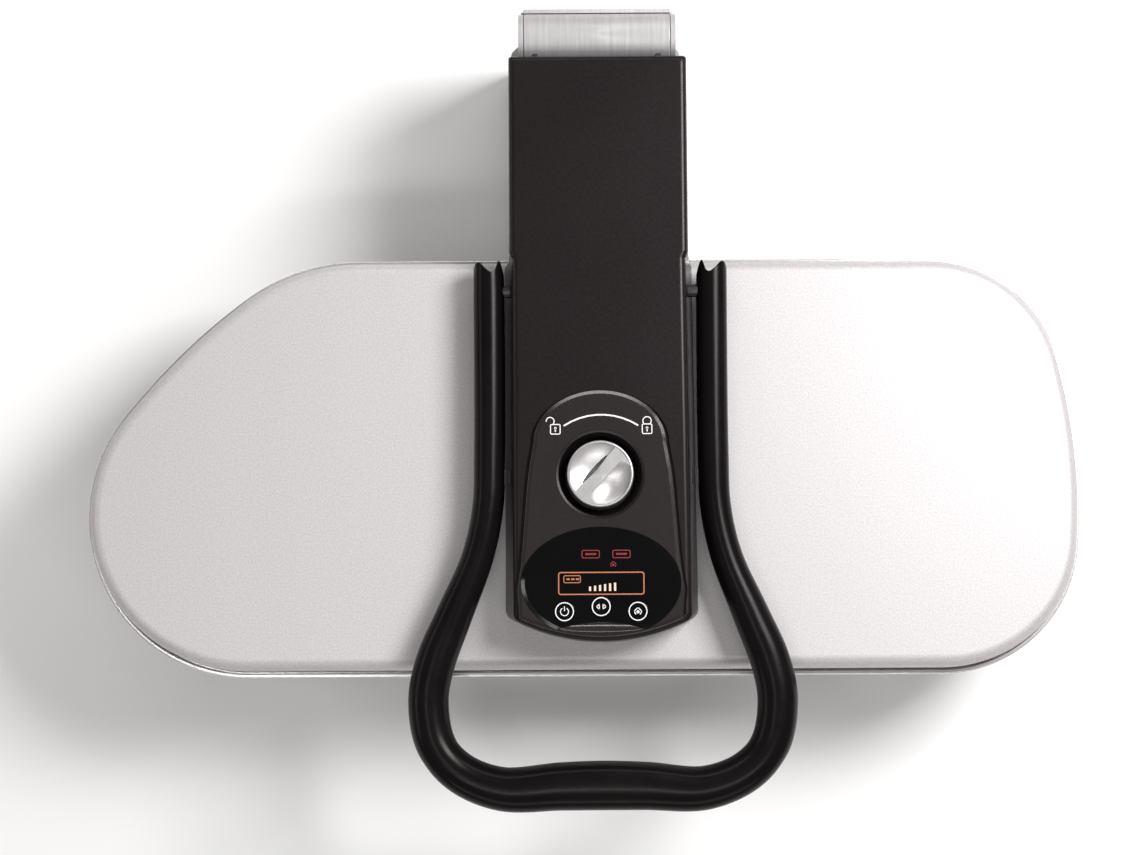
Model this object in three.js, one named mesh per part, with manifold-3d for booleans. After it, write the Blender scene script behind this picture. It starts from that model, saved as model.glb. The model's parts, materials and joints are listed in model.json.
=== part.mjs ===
// Steam ironing press. A padded board stands on a pedestal, and a heated head hangs under a hinged arm.
// A looped handle opens and closes the arm through a pull rod, and a knob locks the handle to the arm.
// Millimetres, +X to the right, +Y to the back, +Z up. The origin is on the ground, under the middle.

import * as THREE from 'three';
import { mergeVertices } from 'three/addons/utils/BufferGeometryUtils.js';
import Module from 'manifold-3d';

const wasm = await Module();
wasm.setup();

const turn = THREE.MathUtils.degToRad;

// Fits that many pieces share
const seat = 0.3;
const slip = 0.6;
const overrun = 2;

// How far a rounded edge has come in, and down, at its middle step
const edgeShare = 0.3;
const lidEdgeShares = [0.2, 0.5];
const lidDropShare = 0.25;

// Counts of sides and steps, which are no lengths
const pinSides = 12;
const roundSides = 20;
const wideSides = 36;

// Plan of the head and the board
const headLength = 622;
const headDepth = 262;
const headFrontY = -165.3;
const shoulderRadius = 123;
const noseRadius = 101;
const cornerRadius = 87;
const armX = 9.5;

// How much of the depth between the round corners is a slack arc, and not a straight run
const slopeArcShare = 0.87;
const endArcShare = 0.96;

// Degrees that the arcs of that plan turn
const shoulderBend = 37;
const slopeBend = 13;
const cornerBend = 85;
const endBend = 19;

// Heights of the main layers above the ground
const footHeight = 8;
const baseTop = 40;
const tailTop = 72;
const boardFoot = 72;
const boardTop = 102;
const pressGap = 0.5;
const armFoot = 152;
const armTop = 190;

// Base and its tail
const baseWall = 3;
const basePlateThickness = 2;
const baseHalf = 185;
const baseFrontY = -128;
const baseRearY = 92;
const baseCorner = 55;
const baseCurve = 8;
const tailHalf = 56;
const tailCorner = 10;
const tailFrontY = 98;
const footRadius = 13;
const footSoleShare = 0.85;
const footTaperShare = 0.3;
const footInset = 34;
const tailFootInset = 18;

// Pedestal, pan, pad and cover of the board
const pedestalHalf = 75;
const pedestalFrontY = -22;
const pedestalRearY = 84;
const pedestalCorner = 24;
const pedestalWall = 3;
const boardInset = 5;
const coverCloth = 1.5;
const coverDrop = 3;
const panSheet = 2;
const panDepth = 12;
const padCrown = 6;

// Hinge at the back of the arm
const hingeY = 228.8;
const hingeZ = 166;
const barrelRadius = 15;
const capSheet = 2.4;
const capEnd = 1.2;
const cheekOuter = 48.5;
const cheekThickness = 3;
const columnWall = 2.4;
const columnRim = 3;
const hingePinRadius = 5;
const hingePinInner = 11;
const bushWall = 1.6;
const plateThickness = 3;
const earHalf = 7;
const earRadius = 9;
const yokeFlange = 4;
const yokeFlangeHalf = 11;
const springWire = 1.5;
const springCurls = 5;

// Pull rod and its two pins
const rodPinRadius = 2.5;
const rodPinRise = 6;
const rodPinPlay = 1.2;
const rodHalfThickness = 2;
const rodHalfHeight = 3;
const rodEyeRadius = 5;
const postThickness = 3;
const crankDrop = 12;
const crankThickness = 4;
const crankHubRadius = 8;

// Arm housing
const armRearHalf = 53.6;
const armFrontHalf = 57.7;
const armTopHalf = 52.8;
const armStepY = 92;
const armStep = 4;
const armStepRadius = 3;
const armFrontY = -144.6;
const armFrontRadius = 115;
const armCorner = 6;
const armRearCorner = 2;
const armWall = 2.5;
const armEdge = 3.6;
const armEdgeDrop = 4;
const undersideThickness = 2;

// Steel frame inside the arm
const frameHalf = 39.5;
const frameFoot = 155.5;
const frameWeb = 2;
const frameSideTop = 178.5;
const frameFrontY = -118;
const frontWebY = 48;
const rearWebFrontY = 94;
const rearWebRearY = 196;
const lugRadius = 10;

// Console on top of the arm
const consoleRise = 4;
const consoleFrontHalf = 50.2;
const archHalf = 40;
const archRise = 31.5;
const archBaseY = -24.5;
const consoleSideY = -113;
const consoleFrontY = -141.5;
const consoleCornerHalf = 49;
const consoleBevel = 1.6;
const consoleLip = 5;
const flareShares = [
  [0.21, 0.31],
  [0.51, 0.54],
  [0.81, 0.76],
];

// Lock knob, its cup and its shaft
const knobY = -44;
const knobRadius = 20;
const knobHeight = 18;
const knobRim = 1.4;
const knobRib = 11.5;
const knobScoop = 6;
const knobBearing = 43;
const knobCupRadius = 26.7;
const cupWall = 2;
const cupFloorZ = 180;
const cupFloorThickness = 2;
const lockBossRadius = 7;
const lockBossDrop = 3;
const lockShaftRadius = 3;
const lockShaftInKnob = 11;

// Lock cam and the two lock bolts
const lockTurn = 92;
const lockThrow = 6;
const camRadius = 19.5;
const camThickness = 3.5;
const camZ = 163.5;
const camPinReach = 14.5;
const camPinRadius = 2;
const boltHalfWidth = 4;
const boltHeight = 6;
const boltInnerEnd = 10;
const boltGap = 0.5;
const guideHalf = 33;
const guideDepth = 20;
const guideBlock = 7;
const guideFloor = 2.6;
const guideRoof = 2;
const socketDepth = 6;
const camSlotCuts = 12;

// Display and keys
const lensHalfWidth = 48;
const lensHalfDepth = 33.6;
const lensY = -109.5;
const lensThickness = 1.8;
const lensProud = 0.3;
const scoopRadius = 84;
const scoopEdgeY = -132.7;
const scoopDepth = 2;
const scoopFrontY = -139;
const scoopHalf = 28;
const keyRadius = 6.3;
const keyProud = 0.7;
const keySpread = 22;
const keySideY = -126.5;
const keyMiddleY = -123.6;
const keyStem = 7.4;
const keyTravel = 0.6;
const displayBoardHalf = 34;
const displayBoardRearY = -77;
const displayBoardFrontY = -133;
const boardSheet = 1.6;
const switchHalf = 3;
const switchHeight = 3.2;
const lampBlockDepth = 12;
const lampBlockHalf = 24;
const lampBlockHeight = 4;
const bossRadius = 3;

// Handle
const handleZ = 172;
const handlePivotY = 70;
const legX = 66.8;
const legHalf = 10.1;
const legTail = 18;
const gripReach = 106.3;
const gripY = -230.1;
const gripHalf = 15.7;
const bowHalf = 12.8;
const gripHeight = 12;
const handleRings = 25;
const handleSides = 12;
const notchRadius = 6.5;
const notchOffset = 2;
const shaftRadius = 4;
const shaftBite = 3.2;
const legShares = [
  [0, 0.33],
  [0.03, 0.44],
  [0.23, 0.54],
  [0.66, 0.66],
  [0.93, 0.755],
  [1, 0.83],
  [0.86, 0.917],
];
const gripShares = [
  [0.82, 0.972],
  [0.58, 1.004],
  [0.24, 1.004],
];

// Head
const skirtWall = 2.6;
const skirtFoot = 104;
const skirtTop = 122;
const skirtLedge = 10;
const skirtLedgeThickness = 2.6;
const headCoverTop = 150;
const headCoverEdge = 7;
const headCoverEdgeDrop = 9;
const headCoverSheet = 1.5;
const heatingThickness = 5;
const steamHoleRadius = 2.2;
const steamHoleColumns = 7;
const steamHoleRows = 3;
const steamHoleSpreadX = 200;
const steamHoleSpreadY = 130;
const steamHoleSides = 6;
const elementRadius = 3.2;
const elementInset = 46;
const mountHalf = 30;
const mountDepth = 82;
const mountSetback = 23.3;
const mountWall = 5;
const mountFlange = 12;
const mountFlangeThickness = 4;
const chamberHalf = 40;
const chamberMargin = 10;
const chamberHeight = 14;
const chamberWall = 3;
const matInset = 16;
const matThickness = 6;
const thermostatRadius = 9;
const thermostatHeight = 12;
const thermostatX = 90;
const thermostatSetback = 8;

// Hoses and looms
const steamHoseRadius = 3.2;
const steamHoseX = -20;
const hoseSides = 6;
const hoseSteps = 20;
const loomRadius = 2.2;
const loomX = 33;
const pumpHoseRadius = 3.5;
const pumpHoseX = -25;
const pumpHoseBend = 12;

// Water tank, pump and power
const tankHalf = 42;
const tankFrontY = 144;
const tankHeight = 46;
const tankWall = 2;
const tankSideSlip = 0.8;
const tankLidThickness = 2.4;
const gripThickness = 14;
const gripNotchHalf = 24;
const gripNotchHeight = 16;
const gripNotchDepth = 11;
const gripNotchDrop = 5;
const fillerRadius = 12;
const capHeight = 4;
const pumpHalf = 16;
const pumpDepth = 30;
const pumpHeight = 30;
const pumpNoseRadius = 5;
const powerBoardInset = 99.5;
const powerBoardY = -20;
const powerBoardWidth = 110;
const powerBoardDepth = 70;
const powerPost = 5;
const powerBlockHeight = 14;
const glandInset = 64.5;
const glandRadius = 7;
const glandBore = 3.6;
const glandLength = 14;
const glandFlange = 3;

// Worked out from the sizes above
const headHalf = headLength / 2;
const shaftReach = legX + shaftBite;
const headRearY = headFrontY + headDepth;
const mountMiddleY = (headFrontY + headRearY) / 2 + mountSetback;
const mountFrontY = mountMiddleY - mountDepth / 2;
const mountRearY = mountMiddleY + mountDepth / 2;
const thermostatY = mountFrontY - thermostatSetback;
const heatingFoot = boardTop + pressGap;
const heatingTop = heatingFoot + heatingThickness;
const basePlateFoot = footHeight + seat;
const basePlateTop = basePlateFoot + basePlateThickness;
const shellFoot = basePlateTop + seat;
const rearY = hingeY + barrelRadius + slip + columnWall;
const armRearY = hingeY - barrelRadius - slip;
const columnFrontY = hingeY - barrelRadius;
const cheekInner = cheekOuter - cheekThickness;
const capHalf = cheekInner - slip;
const columnFoot = tailTop + seat;
const plateInner = frameHalf - plateThickness;
const earInner = frameHalf + slip;
const earOuter = earInner + plateThickness;
const consoleFoot = armTop + seat;
const consoleTop = armTop + consoleRise;
const rodPinZ = hingeZ + rodPinRise;
const crankZ = handleZ - crankDrop;
const knobFoot = cupFloorZ + slip;
const camTop = camZ + camThickness;
const boltFoot = handleZ - boltHeight / 2;
const lensTop = consoleTop + lensProud;
const lensFoot = lensTop - lensThickness;
const keyTop = lensTop + keyProud;
const keyFoot = keyTop - keyStem;
const displayBoardTop = keyFoot - keyTravel - seat - switchHeight;
const skirtLedgeFoot = heatingTop + seat;
const skirtLedgeTop = skirtLedgeFoot + skirtLedgeThickness;
const coverInset = skirtWall + seat;
const chamberFoot = heatingTop + seat;
const chamberTop = chamberFoot + chamberHeight;
const tankFoot = basePlateTop + slip;

// Materials
function finish(colour, roughness, metalness) {
  return new THREE.MeshStandardMaterial({ color: colour, roughness, metalness });
}

const silverPaint = finish(0xd4d2d2, 0.38, 0.55);
const brushedSilver = finish(0xc9c7c8, 0.35, 0.8);
const satinBlack = finish(0x1b1a1b, 0.45, 0);
const softBlack = finish(0x151415, 0.5, 0);
const glossBlack = finish(0x050505, 0.08, 0);
const greyPlastic = finish(0x8e8d90, 0.55, 0);
const chrome = finish(0xdedee2, 0.12, 1);
const steel = finish(0x9a9ca0, 0.35, 1);
const castAluminium = finish(0xb4b6b8, 0.5, 0.9);
const bronze = finish(0xa8803f, 0.4, 0.9);
const rubber = finish(0x202022, 0.9, 0);
const foam = finish(0xe4dcc4, 0.95, 0);
const cloth = finish(0xcfd3d8, 0.9, 0);
const fibre = finish(0xe9e4d6, 1, 0);
const smokeClear = finish(0x9fb4c4, 0.15, 0);
const boardGreen = finish(0x1f5b3a, 0.6, 0.1);

// Solids and cuts
const weldShare = 1e-7;

function solidOf(geometry) {
  const bare = geometry.clone();
  bare.deleteAttribute('normal');
  bare.deleteAttribute('uv');
  const merged = mergeVertices(bare, headLength * weldShare);
  return new wasm.Manifold(new wasm.Mesh({
    numProp: 3,
    vertProperties: new Float32Array(merged.attributes.position.array),
    triVerts: new Uint32Array(merged.index.array),
  }));
}

function geometryOf(solid) {
  const mesh = solid.getMesh();
  const geometry = new THREE.BufferGeometry();
  geometry.setAttribute('position', new THREE.BufferAttribute(mesh.vertProperties, 3));
  geometry.setIndex(new THREE.BufferAttribute(mesh.triVerts, 1));
  return geometry;
}

function join(first, ...others) {
  return geometryOf(others.reduce((solid, other) => solid.add(solidOf(other)), solidOf(first)));
}

function cut(first, ...others) {
  return geometryOf(others.reduce((solid, other) => solid.subtract(solidOf(other)), solidOf(first)));
}

function common(first, second) {
  return geometryOf(solidOf(first).intersect(solidOf(second)));
}

// A range made longer at both ends, or spread about one place
function past([from, to], by = overrun) {
  return [from - by, to + by];
}

function about(middle, half) {
  return [middle - half, middle + half];
}

// A range from one side of the middle plane, in rising order
function sideRange(sign, inner, outer) {
  return sign > 0 ? [inner, outer] : [-outer, -inner];
}

// A block between two X, two Y and two Z places
function block([x0, x1], [y0, y1], [z0, z1]) {
  const geometry = new THREE.BoxGeometry(x1 - x0, y1 - y0, z1 - z0);
  return geometry.translate((x0 + x1) / 2, (y0 + y1) / 2, (z0 + z1) / 2);
}

// A block that is symmetric about X = 0
function evenBlock(half, ys, zs) {
  return block([-half, half], ys, zs);
}

// Round bars along each axis
function barX(radius, [x0, x1], y, z, sides = pinSides) {
  const geometry = new THREE.CylinderGeometry(radius, radius, x1 - x0, sides);
  return geometry.rotateZ(Math.PI / 2).translate((x0 + x1) / 2, y, z);
}

function barY(radius, x, [y0, y1], z, sides = pinSides) {
  const geometry = new THREE.CylinderGeometry(radius, radius, y1 - y0, sides);
  return geometry.translate(x, (y0 + y1) / 2, z);
}

function barZ(radius, x, y, [z0, z1], sides = roundSides) {
  const geometry = new THREE.CylinderGeometry(radius, radius, z1 - z0, sides);
  return geometry.rotateX(Math.PI / 2).translate(x, y, (z0 + z1) / 2);
}

// A flat outline raised between two heights
function prism(outline, z0, z1) {
  const depth = z1 - z0;
  const geometry = new THREE.ExtrudeGeometry(new THREE.Shape(outline), { depth, bevelEnabled: false });
  return geometry.translate(0, 0, z0);
}

// A side view, drawn in Y and Z, given a thickness in X
const sideView = new THREE.Matrix4().makeBasis(
  new THREE.Vector3(0, 1, 0),
  new THREE.Vector3(0, 0, 1),
  new THREE.Vector3(1, 0, 0),
);

function sidePlate(outline, x0, x1) {
  const depth = x1 - x0;
  const geometry = new THREE.ExtrudeGeometry(new THREE.Shape(outline), { depth, bevelEnabled: false });
  return geometry.applyMatrix4(sideView).translate(x0, 0, 0);
}

// A closed skin over rings of points that all have the same count, from the lowest ring to the top one
function skin(rings) {
  const count = rings[0].length;
  const positions = rings.flat().flatMap((point) => [point.x, point.y, point.z]);
  const faces = [];
  for (let ring = 0; ring < rings.length - 1; ring += 1) {
    for (let i = 0; i < count; i += 1) {
      const here = ring * count + i;
      const next = ring * count + (i + 1) % count;
      faces.push(here, next, next + count);
      faces.push(here, next + count, here + count);
    }
  }
  const last = (rings.length - 1) * count;
  const lowerCap = THREE.ShapeUtils.triangulateShape(flatten(rings[0]), []);
  const upperCap = THREE.ShapeUtils.triangulateShape(flatten(rings.at(-1)), []);
  lowerCap.forEach(([a, b, c]) => faces.push(a, c, b));
  upperCap.forEach(([a, b, c]) => faces.push(last + a, last + b, last + c));
  const geometry = new THREE.BufferGeometry();
  geometry.setAttribute('position', new THREE.BufferAttribute(new Float32Array(positions), 3));
  geometry.setIndex(faces);
  return geometry;
}

// A ring seen along its own normal, so that its cap can be cut into triangles
function flatten(ring) {
  const first = ring[0];
  const across = ring[1].clone().sub(first).normalize();
  const normal = new THREE.Vector3();
  ring.forEach((point, i) => normal.add(point.clone().cross(ring[(i + 1) % ring.length])));
  normal.normalize();
  const up = normal.clone().cross(across);
  return ring.map((point) => {
    const offset = point.clone().sub(first);
    return new THREE.Vector2(offset.dot(across), offset.dot(up));
  });
}

function level(outline, z) {
  return outline.map((point) => new THREE.Vector3(point.x, point.y, z));
}

// A hose or loom along a smooth line through its points
function hose(points, radius) {
  const section = new THREE.Shape(ringOf(radius, hoseSides));
  const extrudePath = new THREE.CatmullRomCurve3(points.map((point) => new THREE.Vector3(...point)));
  return new THREE.ExtrudeGeometry(section, { steps: hoseSteps, bevelEnabled: false, extrudePath });
}

function ringOf(radius, sides, x = 0, y = 0) {
  const points = [];
  for (let i = 0; i < sides; i += 1) {
    const angle = (2 * Math.PI * i) / sides;
    points.push(new THREE.Vector2(x + radius * Math.cos(angle), y + radius * Math.sin(angle)));
  }
  return points;
}

// Outline that turns left through arcs and straight runs from a first heading, moved inwards by an inset
function trace(start, heading, legs, inset) {
  const at = new THREE.Vector2(start.x - inset * Math.sin(heading), start.y + inset * Math.cos(heading));
  const points = [at.clone()];
  let angle = heading;
  for (const { bend, radius, cuts, run } of legs) {
    if (run !== undefined) {
      at.x += run * Math.cos(angle);
      at.y += run * Math.sin(angle);
      points.push(at.clone());
      continue;
    }
    const tight = radius - inset;
    const centre = new THREE.Vector2(at.x - tight * Math.sin(angle), at.y + tight * Math.cos(angle));
    for (let i = 1; i <= cuts; i += 1) {
      const now = angle + (bend * i) / cuts;
      at.set(centre.x + tight * Math.sin(now), centre.y - tight * Math.cos(now));
      points.push(at.clone());
    }
    angle += bend;
  }
  return points;
}

// Outline of straight sides with rounded corners, each corner given as X, Y and radius
function rounded(corners, cuts) {
  const points = [];
  corners.forEach(([x, y, radius], i) => {
    const here = new THREE.Vector2(x, y);
    if (!radius) {
      points.push(here);
      return;
    }
    const [backX, backY] = corners.at(i - 1);
    const [onX, onY] = corners[(i + 1) % corners.length];
    const back = new THREE.Vector2(backX, backY).sub(here).normalize();
    const on = new THREE.Vector2(onX, onY).sub(here).normalize();
    const half = Math.acos(back.dot(on)) / 2;
    const centre = here.clone().addScaledVector(back.clone().add(on).normalize(), radius / Math.sin(half));
    const from = here.clone().addScaledVector(back, radius / Math.tan(half)).sub(centre);
    const to = here.clone().addScaledVector(on, radius / Math.tan(half)).sub(centre);
    const sweep = Math.atan2(from.cross(to), from.dot(to));
    for (let k = 0; k <= cuts; k += 1) {
      points.push(from.clone().rotateAround(new THREE.Vector2(), (sweep * k) / cuts).add(centre));
    }
  });
  return points;
}

function box2(half, [y0, y1], radius, middle = 0) {
  const left = middle - half;
  const right = middle + half;
  return [[right, y1, radius], [left, y1, radius], [left, y0, radius], [right, y0, radius]];
}

// Outline of the head, blunt on the right and drawn to a round nose on the left
const shoulderTurn = turn(shoulderBend);
const slopeTurn = turn(slopeBend);
const noseTurn = Math.PI - shoulderTurn - slopeTurn;
const frontCornerTurn = turn(cornerBend);
const endTurn = turn(endBend);
const rearCornerTurn = Math.PI - frontCornerTurn - endTurn;

function headOutline(inset) {
  const slopeEnd = shoulderTurn + slopeTurn;
  const slopeDrop = headDepth
    - shoulderRadius * (1 - Math.cos(shoulderTurn))
    - noseRadius * (1 + Math.cos(slopeEnd));
  const slopeRadius = (slopeDrop * slopeArcShare) / (Math.cos(shoulderTurn) - Math.cos(slopeEnd));
  const slopeRun = (slopeDrop * (1 - slopeArcShare)) / Math.sin(slopeEnd);
  const noseReach = shoulderRadius * Math.sin(shoulderTurn)
    + slopeRadius * (Math.sin(slopeEnd) - Math.sin(shoulderTurn))
    + slopeRun * Math.cos(slopeEnd)
    + noseRadius * (1 - Math.sin(slopeEnd));
  const nose = trace(new THREE.Vector2(noseReach - headHalf, headRearY), Math.PI, [
    { bend: shoulderTurn, radius: shoulderRadius, cuts: 4 },
    { bend: slopeTurn, radius: slopeRadius, cuts: 2 },
    { run: slopeRun },
    { bend: noseTurn, radius: noseRadius, cuts: 12 },
  ], inset);
  const endStart = frontCornerTurn + endTurn;
  const endRise = headDepth
    - cornerRadius * (1 - Math.cos(frontCornerTurn))
    - cornerRadius * (1 + Math.cos(endStart));
  const endRadius = (endRise * endArcShare) / (Math.cos(frontCornerTurn) - Math.cos(endStart));
  const endRun = (endRise * (1 - endArcShare)) / Math.sin(endStart);
  const endReach = cornerRadius * Math.sin(frontCornerTurn) + endRadius * (1 - Math.sin(frontCornerTurn));
  const end = trace(new THREE.Vector2(headHalf - endReach, headFrontY), 0, [
    { bend: frontCornerTurn, radius: cornerRadius, cuts: 8 },
    { bend: endTurn, radius: endRadius, cuts: 2 },
    { run: endRun },
    { bend: rearCornerTurn, radius: cornerRadius, cuts: 7 },
  ], inset);
  return [...nose, ...end];
}

// Outline of the arm at one height, its front end a shallow arc
function armOutline(rearHalf, frontHalf, inset) {
  const rear = rearHalf - inset;
  const front = frontHalf - inset;
  const radius = armFrontRadius - inset;
  const arcY = armFrontY + armFrontRadius;
  const spread = Math.asin(front / radius);
  const steps = 8;
  const arc = [];
  for (let i = 1; i < steps; i += 1) {
    const angle = spread * (2 * i / steps - 1);
    arc.push([radius * Math.sin(angle), arcY - radius * Math.cos(angle), 0]);
  }
  const cornerY = arcY - radius * Math.cos(spread);
  return rounded([
    [rear, armRearY - inset, armRearCorner],
    [-rear, armRearY - inset, armRearCorner],
    [-rear, armStepY, armStepRadius],
    [-front, armStepY - armStep, armStepRadius],
    [-front, cornerY, armCorner],
    ...arc,
    [front, cornerY, armCorner],
    [front, armStepY - armStep, armStepRadius],
    [rear, armStepY, armStepRadius],
  ], 3);
}

// Outline of the raised console, a tongue with an elliptic arch at the back
function consoleOutline(inset) {
  const side = flareShares.map(([along, across]) => new THREE.Vector2(
    archHalf + across * (consoleFrontHalf - archHalf) - inset,
    archBaseY + along * (consoleSideY - archBaseY),
  ));
  const flank = [new THREE.Vector2(consoleFrontHalf - inset, consoleSideY), ...side.reverse()];
  const arch = [];
  const archSteps = 12;
  for (let i = 0; i <= archSteps; i += 1) {
    const angle = (Math.PI * i) / archSteps;
    arch.push(new THREE.Vector2(
      (archHalf - inset) * Math.cos(angle),
      archBaseY + (archRise - inset) * Math.sin(angle),
    ));
  }
  const otherFlank = flank.map((point) => new THREE.Vector2(-point.x, point.y)).reverse();
  const radius = armFrontRadius - inset;
  const arcY = consoleFrontY + armFrontRadius;
  const spread = Math.asin((consoleCornerHalf - inset) / radius);
  const front = [];
  const frontSteps = 8;
  for (let i = 0; i <= frontSteps; i += 1) {
    const angle = spread * (2 * i / frontSteps - 1);
    front.push(new THREE.Vector2(radius * Math.sin(angle), arcY - radius * Math.cos(angle)));
  }
  return [...flank, ...arch, ...otherFlank, ...front];
}

// Outline of the display lens, an oval that a scoop cuts off in front
function lensSolid(grow, z0, z1) {
  const oval = [];
  for (let i = 0; i < wideSides; i += 1) {
    const angle = (2 * Math.PI * i) / wideSides;
    oval.push(new THREE.Vector2(
      (lensHalfWidth + grow) * Math.cos(angle),
      lensY + (lensHalfDepth + grow) * Math.sin(angle),
    ));
  }
  const scoopY = scoopEdgeY - scoopRadius;
  const scoop = barZ(scoopRadius - grow, 0, scoopY, past([z0, z1]), 2 * wideSides);
  return cut(prism(oval, z0, z1), scoop);
}

// Groups: everything on the arm is symmetric about the arm's own middle plane
const press = new THREE.Group();
const armLine = new THREE.Group();
armLine.position.set(armX, 0, 0);
press.add(armLine);

function place(group, name, geometry, material, x = 0, y = 0, z = 0) {
  const mesh = new THREE.Mesh(geometry, material);
  mesh.name = name;
  mesh.position.set(x, y, z);
  group.add(mesh);
  return mesh;
}

// Base: shell, bottom plate and feet
const mainPlan = (inset) => rounded(
  box2(baseHalf - inset, [baseFrontY + inset, baseRearY - inset], baseCorner - inset),
  baseCurve,
);
const tailPlan = (inset, frontY) => rounded(
  box2(tailHalf - inset, [frontY + inset, rearY - inset], tailCorner - inset),
  3,
);
const bayHalf = tankHalf + tankSideSlip;
const bayTop = tankFoot + tankHeight + tankLidThickness + seat + slip;

const shellOuter = join(
  prism(mainPlan(0), shellFoot, baseTop),
  prism(tailPlan(0, 0), shellFoot, baseTop),
  prism(tailPlan(0, tailFrontY), shellFoot, tailTop),
);
const shellInner = join(
  prism(mainPlan(baseWall), shellFoot - overrun, baseTop - baseWall),
  prism(tailPlan(baseWall, 0), shellFoot - overrun, baseTop - baseWall),
  prism(tailPlan(baseWall, tailFrontY), shellFoot - overrun, tailTop - baseWall),
);
const tankMouth = evenBlock(bayHalf, past([rearY - baseWall, rearY]), [shellFoot - overrun, bayTop]);
const hosePass = block(
  [pumpHoseX - pumpHoseRadius - slip, pumpHoseX + pumpHoseRadius + slip],
  [hingeY - pumpHoseBend - pumpHoseRadius, hingeY + pumpHoseRadius + slip],
  [baseTop, columnFoot + yokeFlange + overrun],
);
const glandLocal = baseHalf - glandInset;
const glandZ = (shellFoot + baseTop) / 2;
const glandNeck = glandRadius - glandFlange / 2;
const glandHole = barY(glandNeck + seat, glandLocal, past([baseRearY - baseWall, baseRearY]), glandZ);
place(armLine, 'base_shell', cut(shellOuter, shellInner, tankMouth, hosePass, glandHole), greyPlastic);

const basePlate = join(
  prism(mainPlan(seat), basePlateFoot, basePlateTop),
  prism(tailPlan(seat, 0), basePlateFoot, basePlateTop),
);
place(armLine, 'base_plate', basePlate, steel);

const footPlaces = [
  ['foot_front_left', footInset - baseHalf, baseFrontY + footInset],
  ['foot_front_right', baseHalf - footInset, baseFrontY + footInset],
  ['foot_rear_left', tailFootInset - tailHalf, rearY - tailFootInset],
  ['foot_rear_right', tailHalf - tailFootInset, rearY - tailFootInset],
];
const footShape = new THREE.LatheGeometry([
  new THREE.Vector2(0, 0),
  new THREE.Vector2(footRadius * footSoleShare, 0),
  new THREE.Vector2(footRadius, footHeight * footTaperShare),
  new THREE.Vector2(footRadius, footHeight),
  new THREE.Vector2(0, footHeight),
], roundSides).rotateX(Math.PI / 2);
footPlaces.forEach(([name, x, y]) => place(armLine, name, footShape, rubber, x, y));

// Board: pedestal, pan, foam pad and cloth cover
const pedestalPlan = (inset) => rounded(
  box2(pedestalHalf - inset, [pedestalFrontY + inset, pedestalRearY - inset], pedestalCorner - inset),
  5,
);
const pedestal = cut(
  prism(pedestalPlan(0), baseTop + seat, boardFoot - seat),
  prism(pedestalPlan(pedestalWall), baseTop + seat - overrun, boardFoot - seat - pedestalWall),
);
place(armLine, 'board_pedestal', pedestal, greyPlastic);

const panInset = boardInset + coverCloth + seat;
const panTop = boardFoot + panDepth;
const pan = cut(
  prism(headOutline(panInset), boardFoot, panTop),
  prism(headOutline(panInset + panSheet), boardFoot + panSheet, panTop + overrun),
);
place(press, 'board_pan', pan, steel);

const padInset = panInset + panSheet + seat;
const padTop = boardTop - coverCloth - seat;
const pad = skin([
  level(headOutline(padInset), boardFoot + panSheet + seat),
  level(headOutline(padInset), padTop - padCrown),
  level(headOutline(padInset + padCrown * edgeShare), padTop - padCrown * edgeShare),
  level(headOutline(padInset + padCrown), padTop),
]);
place(press, 'board_pad', pad, foam);

const coverFoot = boardFoot - coverDrop;
const coverOuter = skin([
  level(headOutline(boardInset), coverFoot),
  level(headOutline(boardInset), boardTop - padCrown),
  level(headOutline(boardInset + padCrown * edgeShare), boardTop - padCrown * edgeShare),
  level(headOutline(boardInset + padCrown), boardTop),
]);
const coverInner = skin([
  level(headOutline(panInset - seat), coverFoot - overrun),
  level(headOutline(panInset - seat), boardTop - coverCloth - padCrown),
  level(headOutline(panInset - seat + padCrown * edgeShare), boardTop - coverCloth - padCrown * edgeShare),
  level(headOutline(panInset - seat + padCrown), boardTop - coverCloth),
]);
place(press, 'board_cover', cut(coverOuter, coverInner), cloth);

// Hinge yoke: a flange on the tail, two ears for the hinge pins and a middle fork for the rod pin
const yokeTop = columnFoot + yokeFlange;
function ear(inner, outer, half, topZ, radius) {
  const plate = block([inner, outer], [hingeY - half, hingeY + half], [columnFoot, topZ]);
  return join(plate, barX(radius, [inner, outer], hingeY, topZ, roundSides));
}
const forkInner = rodHalfThickness + slip;
const forkOuter = forkInner + postThickness;
const flange = cut(
  evenBlock(earOuter, [hingeY - yokeFlangeHalf, hingeY + yokeFlangeHalf], [columnFoot, yokeTop]),
  hosePass,
);
const yoke = cut(
  join(
    flange,
    ear(earInner, earOuter, earHalf, hingeZ, earRadius),
    ear(-earOuter, -earInner, earHalf, hingeZ, earRadius),
    ear(forkInner, forkOuter, rodEyeRadius, rodPinZ, rodEyeRadius),
    ear(-forkOuter, -forkInner, rodEyeRadius, rodPinZ, rodEyeRadius),
  ),
  barX(hingePinRadius + seat, past([earInner, earOuter]), hingeY, hingeZ),
  barX(hingePinRadius + seat, past([-earOuter, -earInner]), hingeY, hingeZ),
  barX(rodPinRadius + seat, past([-forkOuter, forkOuter]), hingeY, rodPinZ),
);
place(armLine, 'hinge_yoke', yoke, steel);
place(armLine, 'rod_pin', barX(rodPinRadius, [-forkOuter, forkOuter], hingeY, rodPinZ), steel);

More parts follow.
